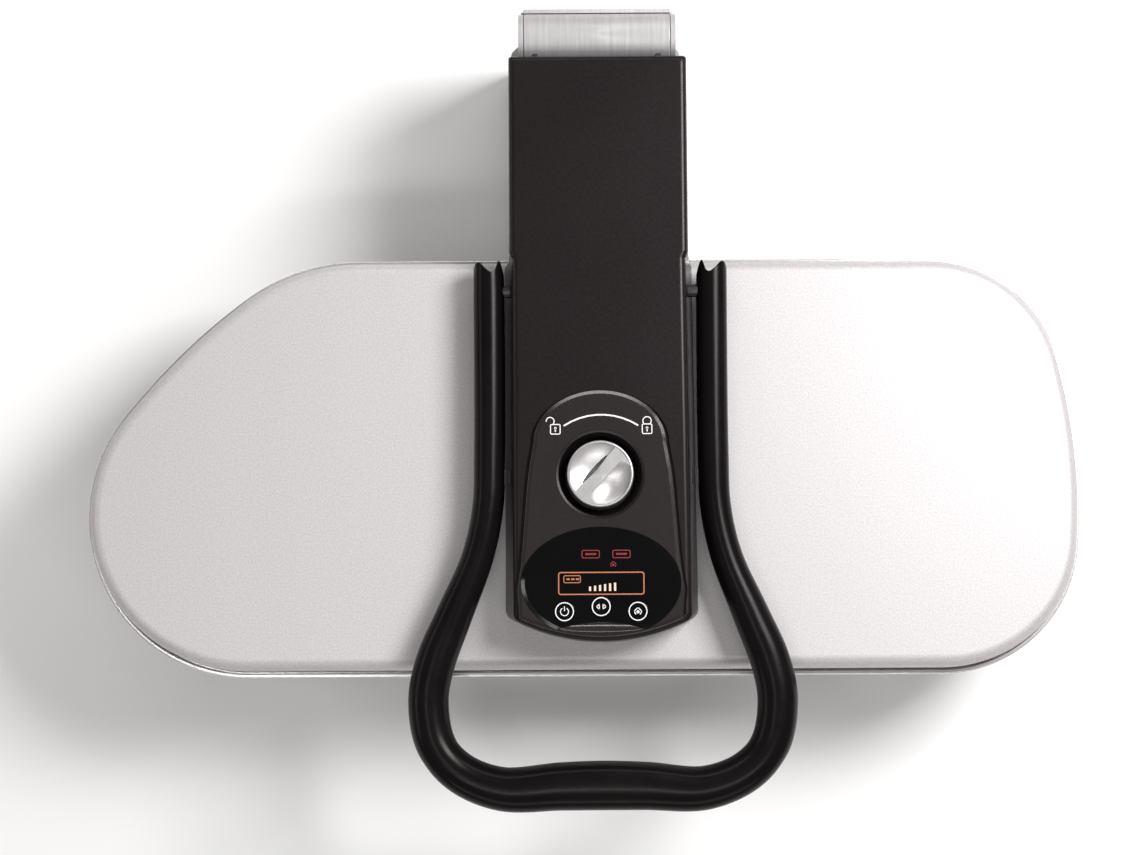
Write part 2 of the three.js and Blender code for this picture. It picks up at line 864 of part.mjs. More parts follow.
// Column cover: a silver box round the yoke, with round cheeks and a rim behind the hinge cap
const frontWallTop = hingeZ - barrelRadius - slip - armEdgeDrop;
const columnPlan = (inset) => rounded(
  box2(cheekOuter - inset, [columnFrontY + inset, rearY - inset], columnRim - Math.min(inset, columnRim / 2)),
  2,
);
const cheekProfile = [
  new THREE.Vector2(columnFrontY, frontWallTop - overrun),
  new THREE.Vector2(rearY - columnRim, frontWallTop - overrun),
  new THREE.Vector2(rearY - columnRim, hingeZ),
];
const cheekSteps = 10;
for (let i = 0; i <= cheekSteps; i += 1) {
  const angle = (Math.PI * i) / cheekSteps;
  cheekProfile.push(new THREE.Vector2(
    hingeY + barrelRadius * Math.cos(angle),
    hingeZ + barrelRadius * Math.sin(angle),
  ));
}
const columnInner = block(
  [-cheekInner, cheekInner],
  [columnFrontY + columnWall, rearY - columnWall],
  past([columnFoot, frontWallTop]),
);
const rearRim = block(
  [-cheekOuter + columnRim, cheekOuter - columnRim],
  [rearY - columnWall, rearY],
  [frontWallTop - overrun, hingeZ + columnRim],
);
const columnCover = cut(
  join(
    cut(prism(columnPlan(0), columnFoot, frontWallTop), columnInner),
    sidePlate(cheekProfile, cheekInner, cheekOuter),
    sidePlate(cheekProfile, -cheekOuter, -cheekInner),
    rearRim,
    block([cheekInner, cheekOuter - columnRim / 2], [rearY - columnRim - overrun, rearY - columnWall / 2],
      [frontWallTop - overrun, hingeZ]),
    block([-cheekOuter + columnRim / 2, -cheekInner], [rearY - columnRim - overrun, rearY - columnWall / 2],
      [frontWallTop - overrun, hingeZ]),
  ),
  barX(hingePinRadius + seat, past([-cheekOuter, cheekOuter]), hingeY, hingeZ),
);
place(armLine, 'column_cover', columnCover, brushedSilver);

// Hinge pins and the springs wound round them
const springOuterEnd = plateInner - slip - springWire;
const springInnerEnd = hingePinInner + springWire + slip;
const springRadius = hingePinRadius + slip + springWire;
function springSolid(sign) {
  const points = [];
  const steps = 7;
  for (let i = 0; i <= springCurls * steps; i += 1) {
    const share = i / (springCurls * steps);
    const angle = share * springCurls * 2 * Math.PI;
    points.push(new THREE.Vector3(
      sign * (springInnerEnd + share * (springOuterEnd - springInnerEnd)),
      hingeY + springRadius * Math.cos(angle),
      hingeZ + springRadius * Math.sin(angle),
    ));
  }
  const wire = new THREE.Shape(ringOf(springWire, 5));
  const extrudePath = new THREE.CatmullRomCurve3(points);
  return new THREE.ExtrudeGeometry(wire, { steps: springCurls * steps, bevelEnabled: false, extrudePath });
}
for (const [side, sign] of [['left', -1], ['right', 1]]) {
  const ends = sideRange(sign, hingePinInner, cheekOuter);
  place(armLine, `hinge_pin_${side}`, barX(hingePinRadius, ends, hingeY, hingeZ), steel);
  place(armLine, `counter_spring_${side}`, springSolid(sign), steel);
}

// Water tank, its lid, filler cap and grip, which slide out at the back together
const tankRearY = rearY - gripThickness - seat;
const tankTop = tankFoot + tankHeight;
const tank = cut(
  evenBlock(tankHalf, [tankFrontY, tankRearY], [tankFoot, tankTop]),
  evenBlock(
    tankHalf - tankWall,
    [tankFrontY + tankWall, tankRearY - tankWall],
    [tankFoot + tankWall, tankTop + overrun],
  ),
);
place(armLine, 'water_tank', tank, smokeClear);
const lidFoot = tankTop + seat;
const lidTop = lidFoot + tankLidThickness;
const fillerY = tankFrontY + 2 * fillerRadius;
const lid = cut(
  evenBlock(tankHalf, [tankFrontY, tankRearY], [lidFoot, lidTop]),
  barZ(fillerRadius + seat, 0, fillerY, past([lidFoot, lidTop])),
);
place(armLine, 'tank_lid', lid, smokeClear);
const capTopZ = bayTop - slip / 2;
place(armLine, 'tank_cap', barZ(fillerRadius, 0, fillerY, [capTopZ - capHeight, capTopZ]), softBlack);
const notch = evenBlock(
  gripNotchHalf,
  [rearY - gripNotchDepth, rearY + overrun],
  [tankTop - gripNotchHeight - gripNotchDrop, tankTop - gripNotchDrop],
);
const grip = cut(evenBlock(tankHalf, [rearY - gripThickness, rearY], [tankFoot, lidTop]), notch);
place(armLine, 'tank_grip', grip, softBlack);

// Pump in front of the tank, and its hose up the column
const pumpRearY = tankFrontY - pumpNoseRadius;
const pumpZ = [basePlateTop + seat, basePlateTop + seat + pumpHeight];
const pumpNoseZ = (pumpZ[0] + pumpZ[1]) / 2;
const pump = join(
  evenBlock(pumpHalf, [pumpRearY - pumpDepth, pumpRearY], pumpZ),
  barY(pumpNoseRadius, 0, [pumpRearY - overrun, tankFrontY - seat], pumpNoseZ),
);
place(armLine, 'water_pump', pump, softBlack);
const hoseHigh = bayTop + pumpHoseRadius + seat;
const pumpHosePoints = [
  [0, pumpRearY - pumpDepth / 2, pumpZ[1] + seat],
  [0, pumpRearY - pumpDepth / 2, hoseHigh - pumpHoseRadius],
  [pumpHoseX / 2, tankFrontY, hoseHigh],
  [pumpHoseX, hingeY - 2 * pumpHoseBend, hoseHigh],
  [pumpHoseX, hingeY - pumpHoseBend / 2, (hoseHigh + tailTop) / 2],
  [pumpHoseX, hingeY, tailTop + pumpHoseBend],
  [pumpHoseX, hingeY, frontWallTop],
];

// Power board, cord gland and the wiring between them
const powerZ = basePlateTop + seat + powerPost;
const powerLocal = baseHalf - powerBoardInset;
const powerXs = [powerLocal - powerBoardWidth / 2, powerLocal + powerBoardWidth / 2];
const powerYs = [powerBoardY - powerBoardDepth / 2, powerBoardY + powerBoardDepth / 2];
const posts = [];
for (const x of powerXs) {
  for (const y of powerYs) {
    const inX = x + Math.sign(powerLocal - x) * bossRadius;
    const inY = y + Math.sign(powerBoardY - y) * bossRadius;
    posts.push(barZ(bossRadius, inX, inY, [basePlateTop + seat, powerZ + boardSheet / 2], pinSides));
  }
}
const powerBoard = join(
  block(powerXs, powerYs, [powerZ, powerZ + boardSheet]),
  block(
    about(powerLocal, powerBlockHeight),
    [powerBoardY - powerBlockHeight, powerBoardY],
    [powerZ + boardSheet / 2, powerZ + powerBlockHeight],
  ),
  ...posts,
);
place(armLine, 'power_board', powerBoard, boardGreen);

const gland = cut(
  join(
    barY(glandNeck, glandLocal, [baseRearY - baseWall - glandFlange, baseRearY + overrun], glandZ),
    barY(glandRadius, glandLocal, [baseRearY + seat, baseRearY + seat + glandFlange], glandZ),
    barY(glandNeck, glandLocal, [baseRearY + glandFlange, baseRearY + glandLength], glandZ),
  ),
  barY(glandBore, glandLocal, [baseRearY - glandLength, baseRearY + 2 * glandLength], glandZ),
);
place(armLine, 'cord_gland', gland, rubber);

const baseLoomPoints = [
  [glandLocal, baseRearY - baseWall - 2 * glandFlange, glandZ],
  [glandLocal, baseRearY - 2 * glandLength, glandZ],
  [powerLocal + powerBlockHeight, powerYs[1] + glandLength, powerZ + powerBlockHeight / 2],
  [powerLocal, powerBoardY + powerBlockHeight / 2, powerZ + powerBlockHeight / 2],
  [powerLocal, powerBoardY + seat, powerZ + powerBlockHeight / 2],
];
place(armLine, 'base_wiring', hose(baseLoomPoints, loomRadius), softBlack);

// Arm frame: two side plates that end in the hinge lugs, tied by a web in front and one behind
const sideProfile = [
  new THREE.Vector2(frameFrontY, frameFoot),
  new THREE.Vector2(rearWebRearY, frameFoot),
  new THREE.Vector2(armRearY, hingeZ - lugRadius),
  new THREE.Vector2(hingeY, hingeZ - lugRadius),
  new THREE.Vector2(hingeY, hingeZ + lugRadius),
  new THREE.Vector2(armRearY, hingeZ + lugRadius),
  new THREE.Vector2(rearWebRearY, frameSideTop),
  new THREE.Vector2(frameFrontY, frameSideTop),
];
const webHalf = plateInner + plateThickness / 2;
const webs = [
  evenBlock(webHalf, [frameFrontY, frontWebY], [frameFoot, frameFoot + frameWeb]),
  evenBlock(webHalf, [rearWebFrontY, rearWebRearY], [frameFoot, frameFoot + frameWeb]),
];
const frameSides = [[plateInner, frameHalf], [-frameHalf, -plateInner]].flatMap(([a, b]) => [
  sidePlate(sideProfile, a, b),
  barX(lugRadius, [a, b], hingeY, hingeZ, roundSides),
]);
const steamHoseInY = mountMiddleY + 2 * mountFlange;
const boltZs = [boltFoot, boltFoot + boltHeight];
const boltHole = evenBlock(
  armFrontHalf + overrun,
  about(knobY, boltHalfWidth + slip),
  past(boltZs, slip),
);
const hingeBushOuter = hingePinRadius + seat + bushWall;
const handleBushOuter = shaftRadius + seat + bushWall;
const webZs = past([frameFoot, frameFoot + frameWeb]);
const hoseHole = barZ(steamHoseRadius + slip, steamHoseX, steamHoseInY, webZs, pinSides);
const frame = cut(
  join(...webs, ...frameSides),
  barX(hingeBushOuter + seat, [-armFrontHalf, armFrontHalf], hingeY, hingeZ),
  barX(handleBushOuter + seat, [-armFrontHalf, armFrontHalf], handlePivotY, handleZ),
  boltHole,
  hoseHole,
);
place(armLine, 'arm_frame', frame, steel);

// Bushes in the frame, for the hinge pins and for the handle shaft
function bush(inner, outer, from, to, y, z) {
  const middle = (from + to) / 2;
  const reach = Math.abs(to - from) / 2 + overrun;
  return cut(
    barX(outer, [Math.min(from, to), Math.max(from, to)], y, z),
    barX(inner, [middle - reach, middle + reach], y, z),
  );
}
for (const [side, sign] of [['left', -1], ['right', 1]]) {
  const from = sign * plateInner;
  const to = sign * frameHalf;
  place(armLine, `hinge_bush_${side}`,
    bush(hingePinRadius + seat, hingeBushOuter, from, to, hingeY, hingeZ), bronze);
  place(armLine, `handle_bush_${side}`,
    bush(shaftRadius + seat, handleBushOuter, from, to, handlePivotY, handleZ), bronze);
}

// Hinge cap: a half barrel with closed ends that turns with the arm, slotted over the frame's lugs
const capRing = cut(
  barX(barrelRadius, [-capHalf, capHalf], hingeY, hingeZ, wideSides),
  barX(barrelRadius - capSheet, [-capHalf + capEnd, capHalf - capEnd], hingeY, hingeZ, wideSides),
  evenBlock(cheekOuter, about(hingeY, 2 * barrelRadius), [hingeZ - 2 * barrelRadius, hingeZ]),
  barX(hingePinRadius + slip, [-cheekOuter, cheekOuter], hingeY, hingeZ),
);
const lugSlot = (sign) => block(
  sideRange(sign, plateInner - seat, frameHalf + seat),
  [hingeY - 2 * barrelRadius, hingeY],
  [hingeZ - overrun, hingeZ + lugRadius + seat],
);
const capRodSlot = evenBlock(
  rodEyeRadius,
  [hingeY - 2 * barrelRadius, hingeY],
  [hingeZ - overrun, rodPinZ + rodEyeRadius],
);
place(armLine, 'hinge_cap', cut(capRing, lugSlot(1), lugSlot(-1), capRodSlot), brushedSilver);

// Arm cover: the black housing, open below, with holes for the console, the hinge, the shaft and the bolts
const armOuter = skin([
  level(armOutline(armRearHalf, armFrontHalf, 0), armFoot),
  level(armOutline(armRearHalf, armTopHalf, 0), armTop - armEdgeDrop),
  level(armOutline(armRearHalf, armTopHalf, armEdge * edgeShare), armTop - armEdgeDrop * edgeShare),
  level(armOutline(armRearHalf, armTopHalf, armEdge), armTop),
]);
const armInner = skin([
  level(armOutline(armRearHalf, armFrontHalf, armWall), armFoot - overrun),
  level(armOutline(armRearHalf, armTopHalf, armWall), armTop - armEdgeDrop),
  level(armOutline(armRearHalf, armTopHalf, armWall + armEdge), armTop - armWall),
]);
const consoleHole = prism(consoleOutline(consoleLip), armTop - 2 * armWall, armTop + overrun);
const hingeMouth = evenBlock(
  frameHalf + slip,
  [armRearY - 2 * armWall, armRearY + overrun],
  [armFoot - overrun, frameSideTop + slip],
);
const shaftHole = barX(shaftRadius + slip, [-legX, legX], handlePivotY, handleZ);
const armCover = cut(armOuter, armInner, consoleHole, hingeMouth, shaftHole, boltHole);
place(armLine, 'arm_cover', armCover, satinBlack);

const undersideInset = armWall + seat + undersideThickness / 2;
const mountHole = evenBlock(
  mountHalf + seat,
  [mountFrontY - seat, mountRearY + seat],
  past([armFoot, armFoot + undersideThickness]),
);
const undersidePlan = armOutline(armRearHalf, armTopHalf + 2 * seat, undersideInset);
const underside = cut(
  prism(undersidePlan, armFoot, armFoot + undersideThickness),
  mountHole,
);
place(armLine, 'arm_underside', underside, satinBlack);

// Console panel: a raised tongue with the knob's cup and the seat of the display
const cupOuter = knobCupRadius + cupWall;
const consoleBody = skin([
  level(consoleOutline(0), consoleFoot),
  level(consoleOutline(0), consoleTop - consoleBevel),
  level(consoleOutline(consoleBevel), consoleTop),
]);
const lensWindow = lensSolid(-consoleLip, consoleFoot - overrun, consoleTop + overrun);
const scoopZs = [consoleTop - scoopDepth, consoleTop + overrun];
const scoopPocket = common(
  barZ(scoopRadius, 0, scoopEdgeY - scoopRadius, scoopZs, 2 * wideSides),
  evenBlock(scoopHalf, [scoopFrontY, scoopEdgeY + overrun], scoopZs),
);
const boardPosts = [-1, 1].map((side) => barZ(
  bossRadius,
  side * (displayBoardHalf - bossRadius),
  displayBoardRearY - bossRadius,
  [displayBoardTop + seat, consoleFoot + consoleRise / 2],
  pinSides,
));
const keyPlaces = [
  ['key_power', -keySpread, keySideY],
  ['key_mode', 0, keyMiddleY],
  ['key_steam', keySpread, keySideY],
];
const keyHoles = keyPlaces.map(([, x, y]) => barZ(keyRadius + seat, x, y, [armTop, lensTop + overrun]));
const consolePanel = cut(
  join(
    cut(consoleBody, barZ(knobCupRadius, 0, knobY, past([consoleFoot, consoleTop]), wideSides)),
    cut(
      barZ(cupOuter, 0, knobY, [cupFloorZ - cupFloorThickness, consoleFoot + consoleRise / 4], wideSides),
      barZ(knobCupRadius, 0, knobY, [cupFloorZ, consoleTop + overrun], wideSides),
    ),
    barZ(lockBossRadius, 0, knobY, [cupFloorZ - cupFloorThickness - lockBossDrop, cupFloorZ], pinSides),
    ...boardPosts,
  ),
  lensSolid(seat, lensFoot - seat, consoleTop + overrun),
  lensWindow,
  scoopPocket,
  ...keyHoles,
  barZ(lockShaftRadius + seat, 0, knobY, [camTop, cupFloorZ + overrun], pinSides),
);
place(armLine, 'console_panel', consolePanel, satinBlack);

// Display lens, keys and the board under them
place(armLine, 'display_lens', cut(lensSolid(0, lensFoot, lensTop), ...keyHoles), glossBlack);
keyPlaces.forEach(([name, x, y]) => {
  place(armLine, name, barZ(keyRadius, x, y, [keyFoot, keyTop]), glossBlack);
});

const displayBoardFoot = displayBoardTop - boardSheet;
const switches = keyPlaces.map(([, x, y]) => block(
  [x - switchHalf, x + switchHalf],
  [y - switchHalf, y + switchHalf],
  [displayBoardTop - boardSheet / 2, displayBoardTop + switchHeight],
));
const lampBlock = evenBlock(
  lampBlockHalf,
  [lensY - lampBlockDepth / 2, lensY + lampBlockDepth],
  [displayBoardTop - boardSheet / 2, displayBoardTop + lampBlockHeight],
);
const displayBoard = join(
  evenBlock(displayBoardHalf, [displayBoardFrontY, displayBoardRearY], [displayBoardFoot, displayBoardTop]),
  lampBlock,
  ...switches,
);
place(armLine, 'display_board', displayBoard, boardGreen);

// Lock knob: a shallow disc with a rim and a straight rib between two scoops
function halfMoon(sign) {
  const moon = [];
  const inner = knobRadius - knobRim;
  const start = Math.asin(knobRib / 2 / inner);
  const steps = 12;
  for (let i = 0; i <= steps; i += 1) {
    const angle = start + ((Math.PI - 2 * start) * i) / steps;
    moon.push(new THREE.Vector2(inner * Math.cos(angle), sign * inner * Math.sin(angle)));
  }
  return prism(moon, knobHeight - knobScoop, knobHeight + overrun);
}
const knobSolid = cut(
  barZ(knobRadius, 0, 0, [0, knobHeight], wideSides),
  halfMoon(1),
  halfMoon(-1),
  barZ(lockShaftRadius + seat, 0, 0, [-overrun, lockShaftInKnob], pinSides),
);
const knob = place(armLine, 'lock_knob', knobSolid, chrome, 0, knobY, knobFoot);
knob.rotation.z = turn(knobBearing);

const shaftFoot = frameFoot + frameWeb + seat + guideFloor + seat;
place(armLine, 'lock_shaft',
  barZ(lockShaftRadius, 0, knobY, [shaftFoot, knobFoot + lockShaftInKnob - seat], pinSides), steel);

// Lock cam: two spiral slots, so that the bolts move evenly as the knob turns
function spiralSlot(start) {
  const rate = lockThrow / turn(lockTurn);
  const innerReach = camPinReach - lockThrow;
  const half = (camPinRadius + seat) * Math.hypot(1, rate / innerReach);
  const from = -half / camPinReach;
  const to = turn(lockTurn) + half / innerReach;
  const outer = [];
  const inner = [];
  for (let i = 0; i <= camSlotCuts; i += 1) {
    const swept = from + ((to - from) * i) / camSlotCuts;
    const reach = camPinReach - rate * swept;
    const angle = start - swept;
    outer.push(new THREE.Vector2((reach + half) * Math.cos(angle), (reach + half) * Math.sin(angle)));
    inner.push(new THREE.Vector2((reach - half) * Math.cos(angle), (reach - half) * Math.sin(angle)));
  }
  return prism([...outer, ...inner.reverse()], -overrun, camThickness + overrun);
}
const cam = cut(
  barZ(camRadius, 0, 0, [0, camThickness]),
  barZ(lockShaftRadius + seat, 0, 0, [-overrun, camThickness + overrun], pinSides),
  spiralSlot(0),
  spiralSlot(Math.PI),
);
place(armLine, 'lock_cam', cam, steel, 0, knobY, camZ);

// Bolt guide and bolts
const guideFoot = frameFoot + frameWeb + seat;
const guideTop = boltZs[1] + slip + guideRoof;
const guideBlocks = [-1, 1].map((sign) => block(
  sideRange(sign, guideHalf - guideBlock, guideHalf),
  about(knobY, 2 * boltHalfWidth),
  [guideFoot, guideTop],
));
const guide = cut(
  join(
    evenBlock(guideHalf, about(knobY, guideDepth / 2), [guideFoot, guideFoot + guideFloor]),
    ...guideBlocks,
  ),
  evenBlock(guideHalf + overrun, about(knobY, boltHalfWidth + seat), past(boltZs, seat)),
);
place(armLine, 'bolt_guide', guide, castAluminium);

const boltOuterEnd = legX - legHalf - boltGap;
for (const [side, sign] of [['left', -1], ['right', 1]]) {
  const ends = sideRange(sign, boltInnerEnd, boltOuterEnd);
  const bolt = join(
    block(ends, about(knobY, boltHalfWidth), boltZs),
    barZ(camPinRadius, sign * camPinReach, knobY, [camZ + seat, boltZs[0] + boltHeight / 2], pinSides),
  );
  place(armLine, `lock_bolt_${side}`, bolt, steel);
}

// Handle: one tube swept round from the tail of the left leg, past the grip, to the tail of the right leg
const pathHalf = [[legX, handlePivotY + legTail]];
legShares.forEach(([out, along]) => pathHalf.push([
  legX + out * (gripReach - legX),
  handlePivotY + along * (gripY - handlePivotY),
]));
gripShares.forEach(([across, along]) => pathHalf.push([
  across * gripReach,
  handlePivotY + along * (gripY - handlePivotY),
]));
const pathPoints = [
  ...pathHalf.map(([x, y]) => new THREE.Vector3(-x, y, handleZ)),
  new THREE.Vector3(0, gripY, handleZ),
  ...pathHalf.map(([x, y]) => new THREE.Vector3(x, y, handleZ)).reverse(),
];
const handlePath = new THREE.CatmullRomCurve3(pathPoints, false, 'centripetal');

// Half width and half height of the tube, from the legs through the bow to the middle of the grip
function handleSection(point) {
  const toBow = Math.max(
    THREE.MathUtils.smoothstep(Math.abs(point.x), legX, gripReach),
    THREE.MathUtils.smoothstep(-point.y, -armFrontY, -gripY),
  );
  const along = THREE.MathUtils.smoothstep(-point.y, -handlePivotY, -gripY);
  const toGrip = point.y < (gripY + armFrontY) / 2
    ? THREE.MathUtils.smoothstep(gripReach - Math.abs(point.x), 0, gripReach)
    : 0;
  const width = legHalf + toBow * (bowHalf - legHalf) + toGrip * (gripHalf - bowHalf);
  const height = legHalf + along * (gripHeight - legHalf);
  return [width, height];
}
const handleSteps = 2 * handleRings;
const handleSkin = [];
for (let i = 0; i <= handleSteps; i += 1) {
  const point = handlePath.getPointAt(i / handleSteps);
  const along = handlePath.getTangentAt(i / handleSteps);
  const across = new THREE.Vector3(-along.y, along.x, 0).normalize();
  const [width, height] = handleSection(point);
  const ring = [];
  for (let k = 0; k < handleSides; k += 1) {
    const angle = (2 * Math.PI * k) / handleSides;
    const rim = point.clone().addScaledVector(across, width * Math.cos(angle));
    rim.z += height * Math.sin(angle);
    ring.push(rim);
  }
  handleSkin.push(ring);
}
const tailY = handlePivotY + legTail;
const legCuts = [-1, 1].flatMap((sign) => {
  const inner = legX - legHalf - overrun;
  const bore = sideRange(sign, inner, shaftReach + seat);
  const socket = sideRange(sign, inner, legX - legHalf + socketDepth);
  return [
    barZ(notchRadius, sign * (legX - notchOffset), tailY, about(handleZ, 2 * legHalf), pinSides),
    barX(shaftRadius + seat, bore, handlePivotY, handleZ),
    block(socket, about(knobY, boltHalfWidth + slip), past(boltZs, slip)),
  ];
});
place(armLine, 'handle_loop', cut(skin(handleSkin), ...legCuts), softBlack);
place(armLine, 'handle_shaft', barX(shaftRadius, [-shaftReach, shaftReach], handlePivotY, handleZ), steel);

// Crank on the handle shaft, and the pull rod from the crank to the fixed pin in the hinge yoke
const crankX = [rodHalfThickness + slip, rodHalfThickness + slip + crankThickness];
const crank = cut(
  join(
    barX(crankHubRadius, crankX, handlePivotY, handleZ, roundSides),
    block(crankX, [handlePivotY - rodEyeRadius, handlePivotY + rodEyeRadius], [crankZ, handleZ]),
    barX(rodEyeRadius, crankX, handlePivotY, crankZ),
    barX(rodPinRadius, [-rodHalfThickness - slip, crankX[1]], handlePivotY, crankZ),
  ),
  barX(shaftRadius + seat, [crankX[0] - overrun, crankX[1] + overrun], handlePivotY, handleZ),
);
place(armLine, 'handle_crank', crank, steel);

const rodRun = new THREE.Vector2(hingeY - handlePivotY, rodPinZ - crankZ);
const rodLean = rodRun.angle();
const rodLength = rodRun.length();
const rodSlot = rodPinRadius + rodPinPlay;
const rodXs = [-rodHalfThickness, rodHalfThickness];
const rodSolid = cut(
  join(
    block(rodXs, [0, rodLength], [-rodHalfHeight, rodHalfHeight]),
    barX(rodEyeRadius, rodXs, 0, 0),
    barX(rodEyeRadius + rodPinPlay, rodXs, rodLength, 0),
  ),
  barX(rodPinRadius + seat, past([-rodHalfThickness, rodHalfThickness]), 0, 0),
  barX(rodSlot, past([-rodHalfThickness, rodHalfThickness]), rodLength, 0),
);
const pullRod = place(armLine, 'pull_rod', rodSolid, steel, 0, handlePivotY, crankZ);
pullRod.rotation.x = rodLean;

// Head: skirt, lid, heating plate, element, steam chamber, mat, thermostat and mount
const skirt = cut(
  prism(headOutline(0), skirtFoot, skirtTop),
  prism(headOutline(skirtWall), skirtFoot - overrun, skirtLedgeFoot),
  prism(headOutline(skirtWall), skirtLedgeTop, skirtTop + overrun),
  prism(headOutline(skirtWall + skirtLedge), skirtLedgeFoot - overrun, skirtLedgeTop + overrun),
);
place(press, 'head_skirt', skirt, greyPlastic);

const headCoverFoot = skirtLedgeTop + seat;
const coverEdgeZ = headCoverTop - headCoverEdgeDrop;
const lidShoulderZ = headCoverTop - headCoverEdgeDrop * lidDropShare;
const coverLid = skin([
  level(headOutline(coverInset), headCoverFoot),
  level(headOutline(coverInset), skirtTop),
  level(headOutline(coverInset + headCoverEdge * lidEdgeShares[0]), coverEdgeZ),
  level(headOutline(coverInset + headCoverEdge * lidEdgeShares[1]), lidShoulderZ),
  level(headOutline(coverInset + headCoverEdge), headCoverTop),
]);
const coverHollow = skin([
  level(headOutline(coverInset + headCoverSheet), headCoverFoot - overrun),
  level(headOutline(coverInset + headCoverSheet), skirtTop),
  level(headOutline(coverInset + headCoverSheet + headCoverEdge * lidEdgeShares[0]), coverEdgeZ),
  level(headOutline(coverInset + headCoverSheet + headCoverEdge), headCoverTop - headCoverSheet),
]);
const mountPass = block(
  [armX - mountHalf - seat, armX + mountHalf + seat],
  [mountFrontY - seat, mountRearY + seat],
  [headCoverTop - overrun - headCoverSheet, headCoverTop + overrun],
);
place(press, 'head_cover', cut(coverLid, coverHollow, mountPass), silverPaint);

const steamHoles = [];
for (let column = 0; column < steamHoleColumns; column += 1) {
  for (let row = 0; row < steamHoleRows; row += 1) {
    const x = armX + steamHoleSpreadX * (2 * column / (steamHoleColumns - 1) - 1);
    const y = headFrontY + headDepth / 2 + (steamHoleSpreadY / 2) * (2 * row / (steamHoleRows - 1) - 1);
    steamHoles.push(barZ(steamHoleRadius, x, y, past([heatingFoot, heatingTop]), steamHoleSides));
  }
}
const heatingPlate = cut(prism(headOutline(skirtWall + slip), heatingFoot, heatingTop), ...steamHoles);
place(press, 'heating_plate', heatingPlate, castAluminium);

const elementZ = heatingTop + seat + elementRadius;
const elementYs = [mountFrontY - 2 * mountFlange - chamberMargin, mountRearY + 2 * chamberMargin];
const elementEnd = headHalf - elementInset - noseRadius;
const elementPoints = [
  [-elementEnd, elementYs[0], elementZ],
  [0, elementYs[0], elementZ],
  [elementEnd, elementYs[0], elementZ],
  [elementEnd + elementInset, (elementYs[0] + elementYs[1]) / 2, elementZ],
  [elementEnd, elementYs[1], elementZ],
  [0, elementYs[1], elementZ],
  [-elementEnd, elementYs[1], elementZ],
];
place(press, 'heating_element', hose(elementPoints, elementRadius), steel);

const chamberYs = [mountFrontY - chamberMargin, mountRearY + chamberMargin];
const chamber = cut(
  evenBlock(chamberHalf, chamberYs, [chamberFoot, chamberTop]),
  evenBlock(chamberHalf - chamberWall, [chamberYs[0] + chamberWall, chamberYs[1] - chamberWall],
    [chamberFoot - overrun, chamberTop - chamberWall]),
);
place(armLine, 'steam_chamber', chamber, castAluminium);

const matFoot = elementZ + elementRadius + seat;
const matZs = [matFoot, matFoot + matThickness];
const thermostatZs = [heatingTop + seat, heatingTop + seat + thermostatHeight];
const mat = cut(
  prism(headOutline(matInset), ...matZs),
  block(
    [armX - chamberHalf - slip, armX + chamberHalf + slip],
    [chamberYs[0] - slip, chamberYs[1] + slip],
    past(matZs),
  ),
  barZ(thermostatRadius + slip, armX + thermostatX, thermostatY, past(matZs), pinSides),
);
place(press, 'insulation_mat', mat, fibre);
place(armLine, 'thermostat',
  barZ(thermostatRadius, thermostatX, thermostatY, thermostatZs, pinSides),
  steel);

const mountFoot = chamberTop + seat;
const mountTop = frameFoot - seat;
const mount = cut(
  join(
    evenBlock(mountHalf, [mountFrontY, mountRearY], [mountFoot, mountTop]),
    evenBlock(mountHalf + chamberMargin, chamberYs, [mountFoot, mountFoot + mountFlangeThickness]),
  ),
  evenBlock(
    mountHalf - mountWall,
    [mountFrontY + mountWall, mountRearY - mountWall],
    past([mountFoot, mountTop]),
  ),
);
place(armLine, 'head_mount', mount, castAluminium);

// Steam hose down into the chamber, wiring loom to the display, and the pump's hose up the column
const hoseTopZ = armTop - armWall - steamHoseRadius - overrun;
const steamHosePoints = [
  [steamHoseX, armRearY - overrun, rodPinZ],
  [steamHoseX, rearWebRearY - mountWall, hoseTopZ - overrun],
  [steamHoseX, (rearWebFrontY + rearWebRearY) / 2, hoseTopZ],
  [steamHoseX, handlePivotY, hoseTopZ],
  [steamHoseX, steamHoseInY + 2 * mountFlange, hoseTopZ - overrun],
  [steamHoseX, steamHoseInY, (frameFoot + hoseTopZ) / 2],
  [steamHoseX, steamHoseInY, frameFoot],
  [steamHoseX, steamHoseInY, chamberTop + seat],
];
place(armLine, 'steam_hose', hose(steamHosePoints, steamHoseRadius), fibre);

const loomZ = frameSideTop + loomRadius + seat;
const loomPoints = [
  [displayBoardHalf - loomRadius, displayBoardRearY + seat, loomZ],
  [loomX, knobY, loomZ],
  [loomX, handlePivotY, loomZ],
  [loomX, armRearY - 2 * armWall, loomZ],
];
place(armLine, 'wiring_loom', hose(loomPoints, loomRadius), softBlack);
place(armLine, 'pump_hose', hose(pumpHosePoints, pumpHoseRadius), fibre);

export default press;
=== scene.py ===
import json
from math import asin, atan2, ceil, cos, exp, pi, radians, sin, sqrt, tan

import bmesh
import bpy
from mathutils import Matrix, Vector
from mathutils.noise import noise

